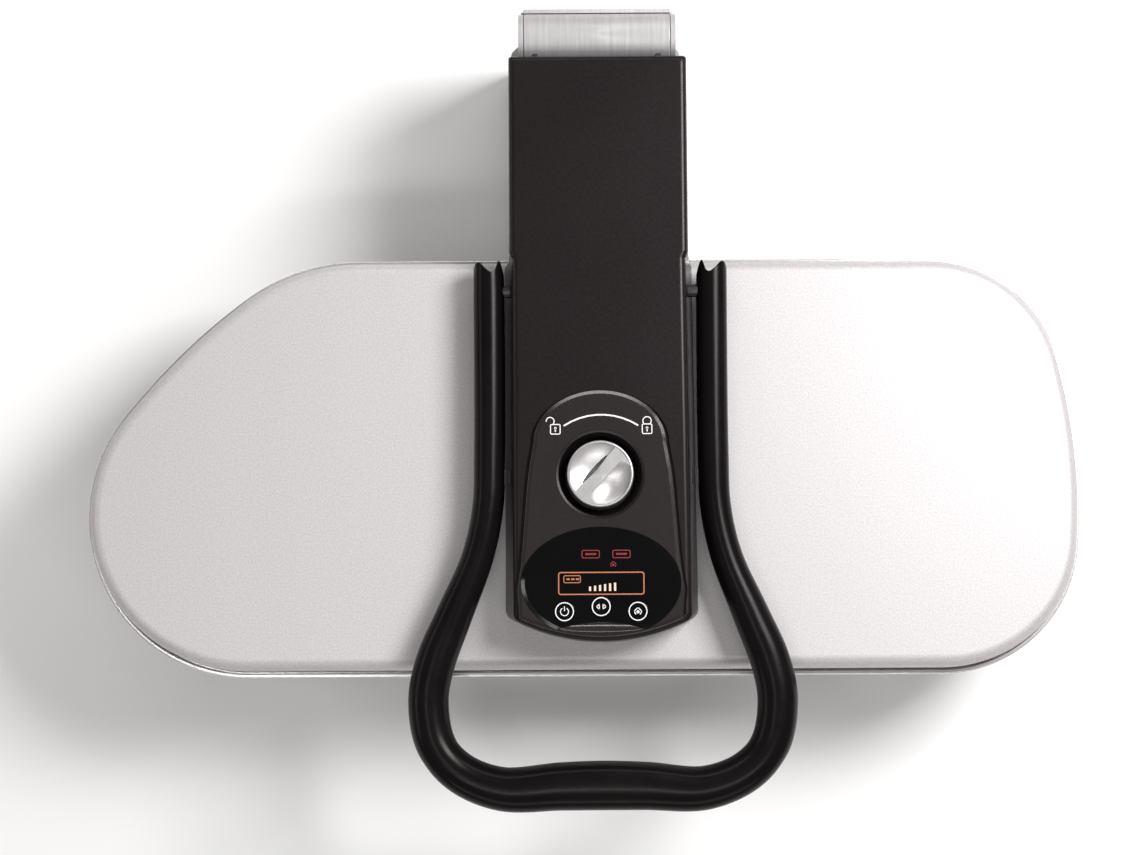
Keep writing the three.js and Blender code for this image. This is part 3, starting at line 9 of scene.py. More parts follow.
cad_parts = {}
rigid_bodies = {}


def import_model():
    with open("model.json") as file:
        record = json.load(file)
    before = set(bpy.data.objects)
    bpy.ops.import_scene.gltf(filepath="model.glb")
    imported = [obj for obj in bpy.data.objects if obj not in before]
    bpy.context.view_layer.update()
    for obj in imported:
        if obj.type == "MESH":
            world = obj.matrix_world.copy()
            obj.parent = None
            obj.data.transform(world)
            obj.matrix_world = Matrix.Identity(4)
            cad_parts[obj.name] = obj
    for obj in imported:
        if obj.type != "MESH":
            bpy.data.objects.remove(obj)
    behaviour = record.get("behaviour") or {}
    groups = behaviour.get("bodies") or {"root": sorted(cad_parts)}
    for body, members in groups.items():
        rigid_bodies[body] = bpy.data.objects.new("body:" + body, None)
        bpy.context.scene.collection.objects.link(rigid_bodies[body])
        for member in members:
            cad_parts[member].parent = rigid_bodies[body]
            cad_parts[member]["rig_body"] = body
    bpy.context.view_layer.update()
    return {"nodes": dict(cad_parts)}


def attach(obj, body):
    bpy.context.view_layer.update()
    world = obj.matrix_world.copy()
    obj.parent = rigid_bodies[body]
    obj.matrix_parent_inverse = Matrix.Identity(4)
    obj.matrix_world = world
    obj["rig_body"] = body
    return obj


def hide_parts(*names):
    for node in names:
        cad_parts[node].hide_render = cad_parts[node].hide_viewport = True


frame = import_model()
mm = 0.001          # lengths below are in millimetres
armX = 9.5          # the arm's middle plane
arcStep = 3.0       # degrees between the points of an arc
weldGap = 0.004     # points nearer than this are one
planGap = 0.02      # the same in a flat plan
levelGap = 0.01     # points no further from a height than this lie at it
latheCuts = 128     # steps of a full turn
print("steam press: frame loaded")


# Camera, nearly straight above the head and a little in front of it

camera = {
    "target": (-8.5, -9.3, 120), "distance": 1700, "tilt": 5.0, "roll": -0.35,
    "lens": 85.2, "sensor": 36, "clips": (0.05, 30),
}


def makeCamera():
    data = bpy.data.cameras.new("overheadCamera")
    data.lens = camera["lens"]
    data.sensor_width = camera["sensor"]
    data.clip_start, data.clip_end = camera["clips"]
    eye = bpy.data.objects.new("overheadCamera", data)
    bpy.context.scene.collection.objects.link(eye)
    turned = Matrix.Rotation(radians(camera["roll"]), 4, "Z")
    turned @= Matrix.Rotation(radians(camera["tilt"]), 4, "X")
    back = turned @ Vector((0, 0, camera["distance"]))
    eye.matrix_world = Matrix.Translation((Vector(camera["target"]) + back) * mm) @ turned
    bpy.context.scene.camera = eye


makeCamera()


# Finishes: those of the record's slots, and some that only dressed pieces wear. Scales are in 1/m, bump
# depths in metres

finishLooks = {
    "silver_paint": {
        "colours": ((0.495, 0.472, 0.477), (0.625, 0.597, 0.602)), "colourScale": 900,
        "rough": (0.44, 0.58), "roughScale": 1100,
        "sockets": {"Metallic": 0.25, "Coat Weight": 0.08, "Coat Roughness": 0.35},
        "bumps": [("noise", 1400, 0.22, 0.00006), ("noise", 60, 0.04, 0.0004)],
    },
    # Paler than the lid's paint: a painted highlight on the skirt's lip, which lies in the lid's shadow. Its
    # gloss and metal catch the lamps for real
    "skirt_silver_painted_highlight": {
        "colours": ((0.72, 0.700, 0.695), (0.80, 0.780, 0.775)), "colourScale": 900,
        "rough": (0.18, 0.26), "roughScale": 1100,
        "sockets": {"Metallic": 0.7},
        "bumps": [("noise", 1400, 0.05, 0.00002)],
    },
    "brushed_silver": {
        "colours": ((0.43, 0.415, 0.42), (0.52, 0.505, 0.51)), "colourScale": 60,
        "stretch": (9, 0.35, 1),
        "rough": (0.42, 0.56), "roughScale": 90,
        "sockets": {"Metallic": 0.3, "Anisotropic": 0.4},
        "bumps": [("noise", 220, 0.12, 0.00006)],
    },
    "satin_black": {
        "colours": ((0.0070, 0.0056, 0.0058), (0.0094, 0.0078, 0.0080)), "colourScale": 14,
        "rough": (0.29, 0.35), "roughScale": 500,
        "sockets": {"Specular IOR Level": 0.26, "Specular Tint": (1, 0.86, 0.88, 1)},
        "bumps": [("noise", 2600, 0.16, 0.00003), ("noise", 24, 0.03, 0.0005)],
    },
    "soft_black": {
        "colours": ((0.0040, 0.0036, 0.0036), (0.0062, 0.0056, 0.0056)), "colourScale": 22,
        "rough": (0.22, 0.27), "roughScale": 140,
        "sockets": {"Specular IOR Level": 0.11, "Specular Tint": (1, 0.90, 0.90, 1)},
        "bumps": [("noise", 900, 0.03, 0.000005), ("noise", 30, 0.02, 0.0002)],
    },
    "gloss_black": {
        "colours": ((0.0018, 0.0018, 0.0019), (0.003, 0.0029, 0.003)), "colourScale": 30,
        "rough": (0.05, 0.09), "roughScale": 120,
        "sockets": {"Specular IOR Level": 0.25},
        "bumps": [("noise", 40, 0.01, 0.0002)],
    },
    "grey_plastic": {
        "colours": ((0.30, 0.298, 0.296), (0.36, 0.357, 0.354)), "colourScale": 20,
        "rough": (0.46, 0.58), "roughScale": 600,
        "bumps": [("noise", 2200, 0.22, 0.00005), ("noise", 30, 0.04, 0.0005)],
    },
    # The tongue is the same black plastic as the arm. Its paler base colour is painted sheen, while its gloss
    # catches the rear lamp along the arch for real
    "console_black_painted_sheen": {
        "colours": ((0.0125, 0.0106, 0.0108), (0.0160, 0.0138, 0.0140)), "colourScale": 14,
        "rough": (0.16, 0.20), "roughScale": 500,
        "sockets": {"Specular IOR Level": 0.95, "Specular Tint": (1, 0.88, 0.89, 1)},
        "bumps": [("noise", 2600, 0.16, 0.00003), ("noise", 24, 0.03, 0.0005)],
    },
    "chrome": {
        "colours": ((0.50, 0.49, 0.485), (0.58, 0.57, 0.565)), "colourScale": 80,
        "rough": (0.33, 0.38), "roughScale": 700,
        "sockets": {"Metallic": 0.7},
        "bumps": [("noise", 1500, 0.03, 0.00001)],
    },
    "steel": {
        "colours": ((0.40, 0.40, 0.405), (0.56, 0.56, 0.565)), "colourScale": 45,
        "rough": (0.28, 0.48), "roughScale": 140,
        "sockets": {"Metallic": 0.95},
        "bumps": [("noise", 900, 0.2, 0.00006)],
    },
    "dark_steel": {
        "colours": ((0.045, 0.044, 0.044), (0.075, 0.073, 0.072)), "colourScale": 90,
        "rough": (0.34, 0.5), "roughScale": 160,
        "sockets": {"Metallic": 0.9},
        "bumps": [("noise", 900, 0.2, 0.00005)],
    },
    "cast_aluminium": {
        "colours": ((0.50, 0.50, 0.495), (0.62, 0.62, 0.615)), "colourScale": 70,
        "rough": (0.36, 0.52), "roughScale": 260,
        "sockets": {"Metallic": 0.85},
        "bumps": [("noise", 700, 0.35, 0.00012)],
    },
    "bronze": {
        "colours": ((0.36, 0.22, 0.10), (0.50, 0.33, 0.16)), "colourScale": 300,
        "rough": (0.32, 0.5), "roughScale": 400,
        "sockets": {"Metallic": 0.9},
        "bumps": [("voronoi", 1600, 0.2, 0.00006)],
    },
    "rubber": {
        "colours": ((0.018, 0.018, 0.018), (0.032, 0.031, 0.030)), "colourScale": 120,
        "rough": (0.62, 0.82), "roughScale": 400,
        "bumps": [("noise", 1500, 0.3, 0.00008)],
    },
    "foam": {
        "colours": ((0.62, 0.56, 0.40), (0.76, 0.70, 0.53)), "colourScale": 240,
        "rough": (0.85, 0.97), "roughScale": 500,
        "sockets": {"Sheen Weight": 0.2},
        "bumps": [("voronoi", 700, 0.7, 0.0004)],
    },
    "cloth": {
        "colours": ((0.50, 0.51, 0.52), (0.60, 0.61, 0.62)), "colourScale": 36,
        "rough": (0.72, 0.88), "roughScale": 300,
        "sockets": {"Sheen Weight": 0.35, "Sheen Roughness": 0.5},
        "weave": 330,
        "bumps": [("noise", 55, 0.15, 0.0006)],
    },
    "fibre": {
        "colours": ((0.52, 0.50, 0.45), (0.66, 0.64, 0.58)), "colourScale": 500,
        "rough": (0.8, 0.95), "roughScale": 700,
        "sockets": {"Sheen Weight": 0.15},
        "weave": 520,
        "bumps": [("noise", 300, 0.35, 0.0002)],
    },
    "smoke_clear": {
        "colours": ((0.20, 0.22, 0.24), (0.27, 0.29, 0.31)), "colourScale": 30,
        "rough": (0.08, 0.16), "roughScale": 260,
        "sockets": {"Transmission Weight": 0.75, "IOR": 1.49, "Coat Weight": 0.2},
        "bumps": [("noise", 50, 0.05, 0.0004)],
    },
    "board_green": {
        "colours": ((0.012, 0.085, 0.030), (0.020, 0.14, 0.048)), "colourScale": 260,
        "rough": (0.28, 0.4), "roughScale": 400,
        "sockets": {"Coat Weight": 0.3},
        "bumps": [("voronoi", 420, 0.3, 0.0001)],
    },
}
inks = {
    "white_ink": ((0.80, 0.80, 0.80), (0.90, 0.90, 0.90), (0.45, 0.6)),
    "red_ink": ((0.20, 0.016, 0.024), (0.28, 0.026, 0.034), (0.3, 0.4)),
    "orange_ink": ((0.44, 0.15, 0.075), (0.55, 0.20, 0.10), (0.3, 0.4)),
    "lit_ink": ((0.72, 0.55, 0.45), (0.85, 0.68, 0.56), (0.3, 0.4)),
}
for name, (low, high, rough) in inks.items():
    finishLooks[name] = {
        "colours": (low, high), "colourScale": 1500, "rough": rough, "roughScale": 2000,
        "bumps": [("noise", 4000, 0.1, 0.00001)],
    }
grainLook = {"detail": 4, "span": (0.3, 0.7)}
weaveLook = {"distortion": 0.6, "detailScale": 0.4, "strength": 0.6, "depth": 0.0003}


def makeFinish(name, look):
    material = bpy.data.materials.new("press_" + name)
    material.use_nodes = True
    tree = material.node_tree
    shader = tree.nodes["Principled BSDF"]
    place = tree.nodes.new("ShaderNodeTexCoord").outputs["Object"]

    def stretched(stretch):
        mapping = tree.nodes.new("ShaderNodeMapping")
        mapping.inputs["Scale"].default_value = stretch
        tree.links.new(place, mapping.inputs["Vector"])
        return mapping.outputs["Vector"]

    def grain(kind, scale, stretch=(1, 1, 1)):
        if kind == "voronoi":
            texture = tree.nodes.new("ShaderNodeTexVoronoi")
        else:
            texture = tree.nodes.new("ShaderNodeTexNoise")
            texture.inputs["Detail"].default_value = grainLook["detail"]
        texture.inputs["Scale"].default_value = scale
        tree.links.new(stretched(stretch), texture.inputs["Vector"])
        return texture.outputs[0]

    def between(value, low, high):
        spread = tree.nodes.new("ShaderNodeMapRange")
        limits = zip(("From Min", "From Max", "To Min", "To Max"), (*grainLook["span"], low, high))
        for socket, number in limits:
            spread.inputs[socket].default_value = number
        tree.links.new(value, spread.inputs["Value"])
        return spread.outputs["Result"]

    def sumOf(values, factor):
        total = values[0]
        for value in values[1:]:
            add = tree.nodes.new("ShaderNodeMath")
            tree.links.new(total, add.inputs[0])
            tree.links.new(value, add.inputs[1])
            total = add.outputs[0]
        scaled = tree.nodes.new("ShaderNodeMath")
        scaled.operation = "MULTIPLY"
        scaled.inputs[1].default_value = factor
        tree.links.new(total, scaled.inputs[0])
        return scaled.outputs[0]

    for socket, value in look.get("sockets", {}).items():
        shader.inputs[socket].default_value = value
    stretch = look.get("stretch", (1, 1, 1))
    colourFactor = grain("noise", look["colourScale"], stretch)
    heights = []
    if "weave" in look:
        threads = []
        for direction in "XYZ":
            wave = tree.nodes.new("ShaderNodeTexWave")
            wave.bands_direction = direction
            wave.inputs["Scale"].default_value = look["weave"]
            wave.inputs["Distortion"].default_value = weaveLook["distortion"]
            wave.inputs["Detail Scale"].default_value = weaveLook["detailScale"]
            tree.links.new(place, wave.inputs["Vector"])
            threads.append(wave.outputs["Fac"])
        weave = sumOf(threads, 1 / 3)
        heights.append((weave, weaveLook["strength"], weaveLook["depth"]))
        colourFactor = sumOf([colourFactor, weave], 0.5)
    mix = tree.nodes.new("ShaderNodeMix")
    mix.data_type = "RGBA"
    tree.links.new(between(colourFactor, 0, 1), mix.inputs["Factor"])
    for socket in mix.inputs:
        if socket.type == "RGBA":
            socket.default_value = (*look["colours"][0 if socket.name == "A" else 1], 1)
    result = [socket for socket in mix.outputs if socket.type == "RGBA"][0]
    tree.links.new(result, shader.inputs["Base Color"])
    roughFactor = grain("noise", look["roughScale"], stretch)
    tree.links.new(between(roughFactor, *look["rough"]), shader.inputs["Roughness"])
    for kind, scale, strength, depth in look["bumps"]:
        heights.append((grain(kind, scale, stretch), strength, depth))
    normal = None
    for height, strength, depth in heights:
        bump = tree.nodes.new("ShaderNodeBump")
        bump.inputs["Strength"].default_value = strength
        bump.inputs["Distance"].default_value = depth
        tree.links.new(height, bump.inputs["Height"])
        if normal:
            tree.links.new(normal, bump.inputs["Normal"])
        normal = bump.outputs["Normal"]
    tree.links.new(normal, shader.inputs["Normal"])
    return material


finishes = {name: makeFinish(name, look) for name, look in finishLooks.items()}
# The slot in the record of each finish that has none of its own
for node in frame["nodes"].values():
    for slot in node.material_slots:
        slot.material = finishes[slot.material.name.split(".")[0]]
for name in ("lock_bolt_left", "lock_bolt_right", "handle_shaft"):
    frame["nodes"][name].material_slots[0].material = finishes["dark_steel"]
print("steam press: finishes made")


# Drawing tools: plans are drawn flat, then raised, carved and rounded

def spinPoint(bm, tip, centre, degrees, axis=(0, 0, 1), turn=None):
    # The number of points comes from the degrees, and a turn in radians may differ from them a little
    steps = max(2, ceil(abs(degrees) / arcStep))
    spun = bmesh.ops.spin(
        bm, geom=[tip], cent=centre, axis=axis, angle=radians(degrees) if turn is None else turn, steps=steps)
    return [item for item in spun["geom_last"] if isinstance(item, bmesh.types.BMVert)][0]


def linePoint(bm, tip, point):
    made = bmesh.ops.extrude_vert_indiv(bm, verts=[tip])["verts"][0]
    bmesh.ops.translate(bm, verts=[made], vec=Vector(point) - made.co)
    return made


def closePlan(bm):
    bmesh.ops.remove_doubles(bm, verts=bm.verts, dist=planGap)
    ends = [vert for vert in bm.verts if len(vert.link_edges) == 1]
    if ends:
        bm.edges.new(ends)
    face = bmesh.ops.contextual_create(bm, geom=bm.edges[:])["faces"][0]
    face.normal_update()
    if face.normal.z < 0:
        bmesh.ops.reverse_faces(bm, faces=[face])
    return face


def drawPlan(start, heading, legs, z):
    # A leg is a run of a length, a run across to an X, or an arc of a radius and degrees to the left
    bm = bmesh.new()
    tip = bm.verts.new((*start, z))
    for kind, *sizes in legs:
        ahead = Vector((cos(heading), sin(heading), 0))
        if kind == "run":
            tip = linePoint(bm, tip, tip.co + ahead * sizes[0])
        elif kind == "across":
            tip = linePoint(bm, tip, (sizes[0], tip.co.y, z))
        else:
            radius, bend = sizes
            left = Vector((-ahead.y, ahead.x, 0))
            tip = spinPoint(bm, tip, tip.co + left * (radius if bend > 0 else -radius), bend)
            heading += radians(bend)
    return bm, closePlan(bm)


def roundedBox(xs, ys, radius, z):
    width, depth = xs[1] - xs[0] - 2 * radius, ys[1] - ys[0] - 2 * radius
    legs = []
    for length in (width, depth, width, depth):
        legs += [("run", length), ("arc", radius, 90)]
    return drawPlan((xs[0] + radius, ys[0]), 0, legs, z)


def deleteFaces(bm, faces):
    bmesh.ops.delete(bm, geom=list(faces), context="FACES_ONLY")


def facesAt(bm, z):
    # The flat faces at one height, such as the one that a drawn solid stands on
    return [face for face in bm.faces if all(abs(vert.co.z - z) < levelGap for vert in face.verts)]


def raiseFace(bm, face, steps):
    # Each step takes the face inwards and up, and leaves a band behind it
    for inset, rise in steps:
        if inset:
            bmesh.ops.inset_region(
                bm, faces=[face], thickness=inset, use_even_offset=True, use_boundary=True)
        else:
            below = face if all(len(edge.link_faces) > 1 for edge in face.edges) else None
            made = bmesh.ops.extrude_face_region(bm, geom=[face])["geom"]
            face = [item for item in made if isinstance(item, bmesh.types.BMFace)][0]
            if below:
                deleteFaces(bm, [below])
        bmesh.ops.translate(bm, verts=face.verts, vec=(0, 0, rise))
    return face


def quarterRound(inset, rise, cuts):
    # Steps of a rounded edge that turns from upright to flat
    turns = [pi / 2 * k / cuts for k in range(cuts + 1)]
    return [
        (inset * (cos(a) - cos(b)), rise * (sin(b) - sin(a)))
        for a, b in zip(turns, turns[1:])
    ]


def quarterFall(radius, cuts):
    # Steps of a rounded edge that turns from flat to upright on its far side
    return [(rise, -inset) for inset, rise in quarterRound(radius, radius, cuts)]


def toMesh(bm, name):
    bmesh.ops.remove_doubles(bm, verts=bm.verts, dist=weldGap)
    bmesh.ops.recalc_face_normals(bm, faces=bm.faces)
    bmesh.ops.scale(bm, vec=(mm,) * 3, verts=bm.verts)
    mesh = bpy.data.meshes.new(name)
    bm.to_mesh(mesh)
    bm.free()
    return mesh


def moved(bm, by):
    bmesh.ops.translate(bm, verts=bm.verts, vec=by)
    return bm


def addObject(name, mesh):
    piece = bpy.data.objects.new(name, mesh)
    bpy.context.scene.collection.objects.link(piece)
    return piece


def addPiece(name, bm):
    return addObject(name, toMesh(bm, name))


def modify(piece, kind, **settings):
    # Adds a modifier and applies it
    modifier = piece.modifiers.new(kind.lower(), kind)
    for key, value in settings.items():
        setattr(modifier, key, value)
    bpy.context.view_layer.update()
    shaped = piece.evaluated_get(bpy.context.evaluated_depsgraph_get())
    mesh = bpy.data.meshes.new_from_object(shaped)
    piece.modifiers.clear()
    old, piece.data = piece.data, mesh
    bpy.data.meshes.remove(old)


def carve(piece, cutters, operation="DIFFERENCE"):
    # Cuts drawn solids out of a piece, or keeps what they share with it
    for bm in cutters:
        tool = addPiece("carvingTool", bm)
        modify(piece, "BOOLEAN", operation=operation, object=tool, solver="EXACT")
        bpy.data.objects.remove(tool)
    return piece


def takeSolid(piece):
    # Gives a carved blank back as a drawn solid
    bm = bmesh.new()
    bm.from_mesh(piece.data)
    bmesh.ops.scale(bm, vec=(1 / mm,) * 3, verts=bm.verts)
    bpy.data.objects.remove(piece)
    return bm


def soften(piece, width, angle, segments):
    modify(
        piece, "BEVEL", width=width * mm, segments=segments, limit_method="ANGLE",
        angle_limit=radians(angle), harden_normals=False)


def finishPiece(piece, finish, body, nodes=(), sharp=35, firm=True):
    mesh = piece.data
    mesh.materials.clear()
    mesh.materials.append(finishes[finish])
    mesh.polygons.foreach_set("use_smooth", [True] * len(mesh.polygons))
    mesh.set_sharp_from_angle(angle=radians(sharp))
    if firm:
        modify(piece, "WEIGHTED_NORMAL", keep_sharp=True)
    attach(piece, body)
    if nodes:
        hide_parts(*nodes)


def shiftX(bm, by=armX):
    return moved(bm, (by, 0, 0))


def acrossArm(half):
    return armX - half, armX + half


def pivotRod(radius, half):
    return solidRod(radius, (armX, pivot["y"], pivot["z"]), 2 * half, pivot["sides"], 90)


def solidBox(xs, ys, zs):
    bm = bmesh.new()
    bmesh.ops.create_cube(bm, size=1)
    bmesh.ops.scale(bm, vec=[high - low for low, high in (xs, ys, zs)], verts=bm.verts)
    return moved(bm, [sum(ends) / 2 for ends in (xs, ys, zs)])


def solidRod(radius, centre, length, sides, lean=0):
    # An upright rod, placed by its middle. A lean of 90 degrees lays it along X
    bm = bmesh.new()
    bmesh.ops.create_cone(
        bm, cap_ends=True, segments=sides, radius1=radius, radius2=radius, depth=length)
    bmesh.ops.rotate(bm, verts=bm.verts, matrix=Matrix.Rotation(radians(lean), 3, "Y"))
    return moved(bm, centre)


def solidBall(size, centre, sides):
    bm = bmesh.new()
    bmesh.ops.create_uvsphere(bm, u_segments=sides[0], v_segments=sides[1], radius=1)
    bmesh.ops.scale(bm, vec=size, verts=bm.verts)
    return moved(bm, centre)


def flatOval(across, along, centre, sides):
    # An oval plan, and its face
    bm = bmesh.new()
    bmesh.ops.create_circle(bm, cap_ends=True, segments=sides, radius=1)
    bmesh.ops.scale(bm, vec=(across, along, 1), verts=bm.verts)
    return moved(bm, centre), bm.faces[:][0]


def lathe(profile, centre):
    # Spins a line of (radius, height) points about the Z axis through a centre
    bm = bmesh.new()
    tip = bm.verts.new((profile[0][0], 0, profile[0][1]))
    for radius, height in profile[1:]:
        tip = linePoint(bm, tip, (radius, 0, height))
    bmesh.ops.spin(
        bm, geom=bm.verts[:] + bm.edges[:], cent=(0, 0, 0), axis=(0, 0, 1), angle=2 * pi, steps=latheCuts,
        use_merge=True)
    bmesh.ops.remove_doubles(bm, verts=bm.verts, dist=weldGap)
    return moved(bm, centre)


# Head: the outline is blunt on the right and drawn to a round nose on the left

head = {
    "half": 311.0, "front": -165.3, "rear": 96.7,
    "shoulderRadius": 123.0, "shoulderBend": 37.0,
    "slopeBend": 13.0, "slopeArcShare": 0.87,
    "noseRadius": 101.0,
    "cornerRadius": 87.0, "cornerBend": 85.0,
    "endBend": 19.0, "endArcShare": 0.96,
}


def headPlan(inset, z):
    # Every arc shares its centre with the outer line, so plans with more inset stay parallel
    depth = head["rear"] - head["front"]
    shoulder, slope = radians(head["shoulderBend"]), radians(head["slopeBend"])
    both = shoulder + slope
    drop = depth - head["shoulderRadius"] * (1 - cos(shoulder)) - head["noseRadius"] * (1 + cos(both))
    slopeRadius = drop * head["slopeArcShare"] / (cos(shoulder) - cos(both))
    slopeRun = drop * (1 - head["slopeArcShare"]) / sin(both)
    noseReach = (
        head["shoulderRadius"] * sin(shoulder) + slopeRadius * (sin(both) - sin(shoulder))
        + slopeRun * cos(both) + head["noseRadius"] * (1 - sin(both)))
    corner, end = radians(head["cornerBend"]), radians(head["endBend"])
    whole = corner + end
    rise = depth - head["cornerRadius"] * (2 - cos(corner) + cos(whole))
    endRadius = rise * head["endArcShare"] / (cos(corner) - cos(whole))
    endRun = rise * (1 - head["endArcShare"]) / sin(whole)
    endReach = head["cornerRadius"] * sin(corner) + endRadius * (1 - sin(corner))
    return drawPlan((noseReach - head["half"], head["rear"] - inset), pi, [
        ("arc", head["shoulderRadius"] - inset, head["shoulderBend"]),
        ("arc", slopeRadius - inset, head["slopeBend"]),
        ("run", slopeRun),
        ("arc", head["noseRadius"] - inset, 180 - head["shoulderBend"] - head["slopeBend"]),
        ("across", head["half"] - endReach),
        ("arc", head["cornerRadius"] - inset, head["cornerBend"]),
        ("arc", endRadius - inset, head["endBend"]),
        ("run", endRun),
        ("arc", head["cornerRadius"] - inset, 180 - head["cornerBend"] - head["endBend"]),
    ], z)


headCover = {
    "inset": 3.4, "foot": 110.7, "wall": 1.5, "footBand": 0.2,
    "leanInset": 1.4, "leanRise": 30.3,
    "edgeInset": 7.2, "edgeRise": 9.0, "edgeCuts": 9, "topBands": ((0.4, 0), (9, 0)),
    "mountX": (-20.8, 39.8), "mountY": (-52.3, 30.3), "mountCorner": 4, "mountFoot": 138.0, "mountDeep": 24.0,
}


def makeHeadCover():
    look = headCover
    bm, face = headPlan(look["inset"], look["foot"])
    top = raiseFace(bm, face, [
        (0, look["footBand"]), (look["leanInset"], look["leanRise"] - look["footBand"]),
        *quarterRound(look["edgeInset"], look["edgeRise"], look["edgeCuts"]),
    ])
    raiseFace(bm, top, look["topBands"])
    deleteFaces(bm, facesAt(bm, look["foot"]))
    piece = addPiece("head_lid", bm)
    modify(piece, "SOLIDIFY", thickness=look["wall"] * mm, offset=-1, use_even_offset=True)
    mount, plan = roundedBox(look["mountX"], look["mountY"], look["mountCorner"], look["mountFoot"])
    raiseFace(mount, plan, [(0, look["mountDeep"])])
    carve(piece, [mount])
    finishPiece(piece, "silver_paint", "arm", ["head_cover"])


headSkirt = {
    "foot": 104.0, "wallTop": 121.3, "lip": 0.7, "lipCuts": 4, "wall": 2.6,
    "ledgeTop": 110.4, "ledgeFoot": 107.8, "ledge": 10.0,
}


def makeHeadSkirt():
    look = headSkirt
    lip = look["lip"]
    bm, face = headPlan(0, look["foot"])
    top = raiseFace(bm, face, [
        (0, look["wallTop"] - look["foot"]), *quarterRound(lip, lip, look["lipCuts"]),
        (look["wall"] - 2 * lip, 0), *quarterFall(lip, look["lipCuts"]),
        (0, look["ledgeTop"] - look["wallTop"]), (look["ledge"], 0),
        (0, look["ledgeFoot"] - look["ledgeTop"]),
    ])
    deleteFaces(bm, [top])
    low = raiseFace(bm, facesAt(bm, look["foot"])[0], [
        (look["wall"], 0), (0, look["ledgeFoot"] - look["foot"]), (look["ledge"], 0)])
    deleteFaces(bm, [low])
    piece = addPiece("head_shoulder", bm)
    # The skirt wears the paler silver, a painted highlight on its shaded lip
    finishPiece(piece, "skirt_silver_painted_highlight", "arm", ["head_skirt"])


makeHeadCover()
makeHeadSkirt()
print("steam press: head made")


# Board: a cloth cover over a foam pad, in a steel pan

board = {
    "padInset": 10.3, "padFoot": 74.3, "padTop": 98.7, "padBand": 0.8, "padEdge": 9.0, "padCuts": 6,
    "padCrown": ((6, 0.2), (20, 0.3)), "fill": 0.75,
    "coverInset": 5.6, "coverFoot": 69.4, "coverTop": 102.0,
    "coverBands": 7, "coverEdge": 7.0, "coverCuts": 7,
    "coverCrown": ((9, 0),) * 5, "cloth": 0.9, "flat": (0.676, 0.318),
    "gather": 0.8, "gatherPitch": 0.11, "gatherSeed": 3, "gatherShare": 0.85,
    "drift": 0.35, "driftPitch": 0.02, "driftMean": 0.6,
}


padSwell = {"voxel": 5.0, "pressure": 4.0, "frames": 20, "reach": 1.4, "mass": 0.3, "tension": 15.0}


def swellPad(piece):
    # The pad starts a little small and is blown up as cloth, no further than the room it has
    modify(piece, "REMESH", mode="VOXEL", voxel_size=padSwell["voxel"] * mm, use_smooth_shade=True)
    start = [vert.co.copy() for vert in piece.data.vertices]
    blown = addObject("padBlown", piece.data.copy())
    cloth = blown.modifiers.new("swelling", "CLOTH")
    cloth.settings.use_pressure = True
    cloth.settings.uniform_pressure_force = padSwell["pressure"]
    cloth.settings.mass = padSwell["mass"]
    cloth.settings.tension_stiffness = padSwell["tension"]
    cloth.settings.effector_weights.gravity = 0
    scene = bpy.context.scene
    for number in range(1, padSwell["frames"] + 1):
        scene.frame_set(number)
    shaped = blown.evaluated_get(bpy.context.evaluated_depsgraph_get()).to_mesh()
    reach = padSwell["reach"] * mm
    for vert, old, new in zip(piece.data.vertices, start, shaped.vertices):
        move = new.co - old
        vert.co = old + move * min(1, reach / max(move.length, 1e-9))
    scene.frame_set(1)
    bpy.data.objects.remove(blown)
    modify(piece, "SUBSURF", levels=1, render_levels=1)


def makeBoardPad():
    look = board
    bm, face = headPlan(look["padInset"], look["padFoot"])
    edge = look["padEdge"]
    side = look["padTop"] - look["padFoot"] - edge
    raiseFace(bm, face, [
        (0, look["padBand"]), (0, side), *quarterRound(edge, edge, look["padCuts"]), *look["padCrown"]])
    piece = addPiece("foam_pad", bm)
    swellPad(piece)
    finishPiece(piece, "foam", "base", ["board_pad"], sharp=60, firm=False)


def makeBoardCover():
    look = board
    bm, face = headPlan(look["coverInset"], look["coverFoot"])
    foot, edge, height = look["coverFoot"], look["coverEdge"], look["coverTop"] - look["coverFoot"]
    raiseFace(bm, face, [
        *[(0, (height - edge) / look["coverBands"])] * look["coverBands"],
        *quarterRound(edge, edge, look["coverCuts"]), *look["coverCrown"],
    ])
    deleteFaces(bm, facesAt(bm, foot))
    bm.normal_update()
    # The drop is gathered into soft ripples, and the top isn't quite level
    moves = {}
    for vert in bm.verts:
        low = max(0, 1 - (vert.co.z - foot) / (height * look["gatherShare"]))
        ripple = noise(Vector((*vert.co.xy * look["gatherPitch"], look["gatherSeed"])))
        out = Vector((vert.normal.x, vert.normal.y, 0))
        sag = (noise(vert.co * look["driftPitch"]) - look["driftMean"]) * look["drift"]
        moves[vert] = out * (ripple * look["gather"] * low) + Vector((0, 0, sag * (1 - low)))
    for vert, move in moves.items():
        vert.co += move
    area = sum(face.calc_area() for face in bm.faces) * mm * mm
    piece = addPiece("board_cloth", bm)
    modify(piece, "SOLIDIFY", thickness=look["cloth"] * mm, offset=-1, use_even_offset=True)
    finishPiece(piece, "cloth", "base", ["board_cover"], sharp=60, firm=False)


makeBoardPad()
makeBoardCover()
print("steam press: board made")


# Arm: the long black housing, wider in front of the handle's pivot. The pivot and the bolts run through
# the handle too

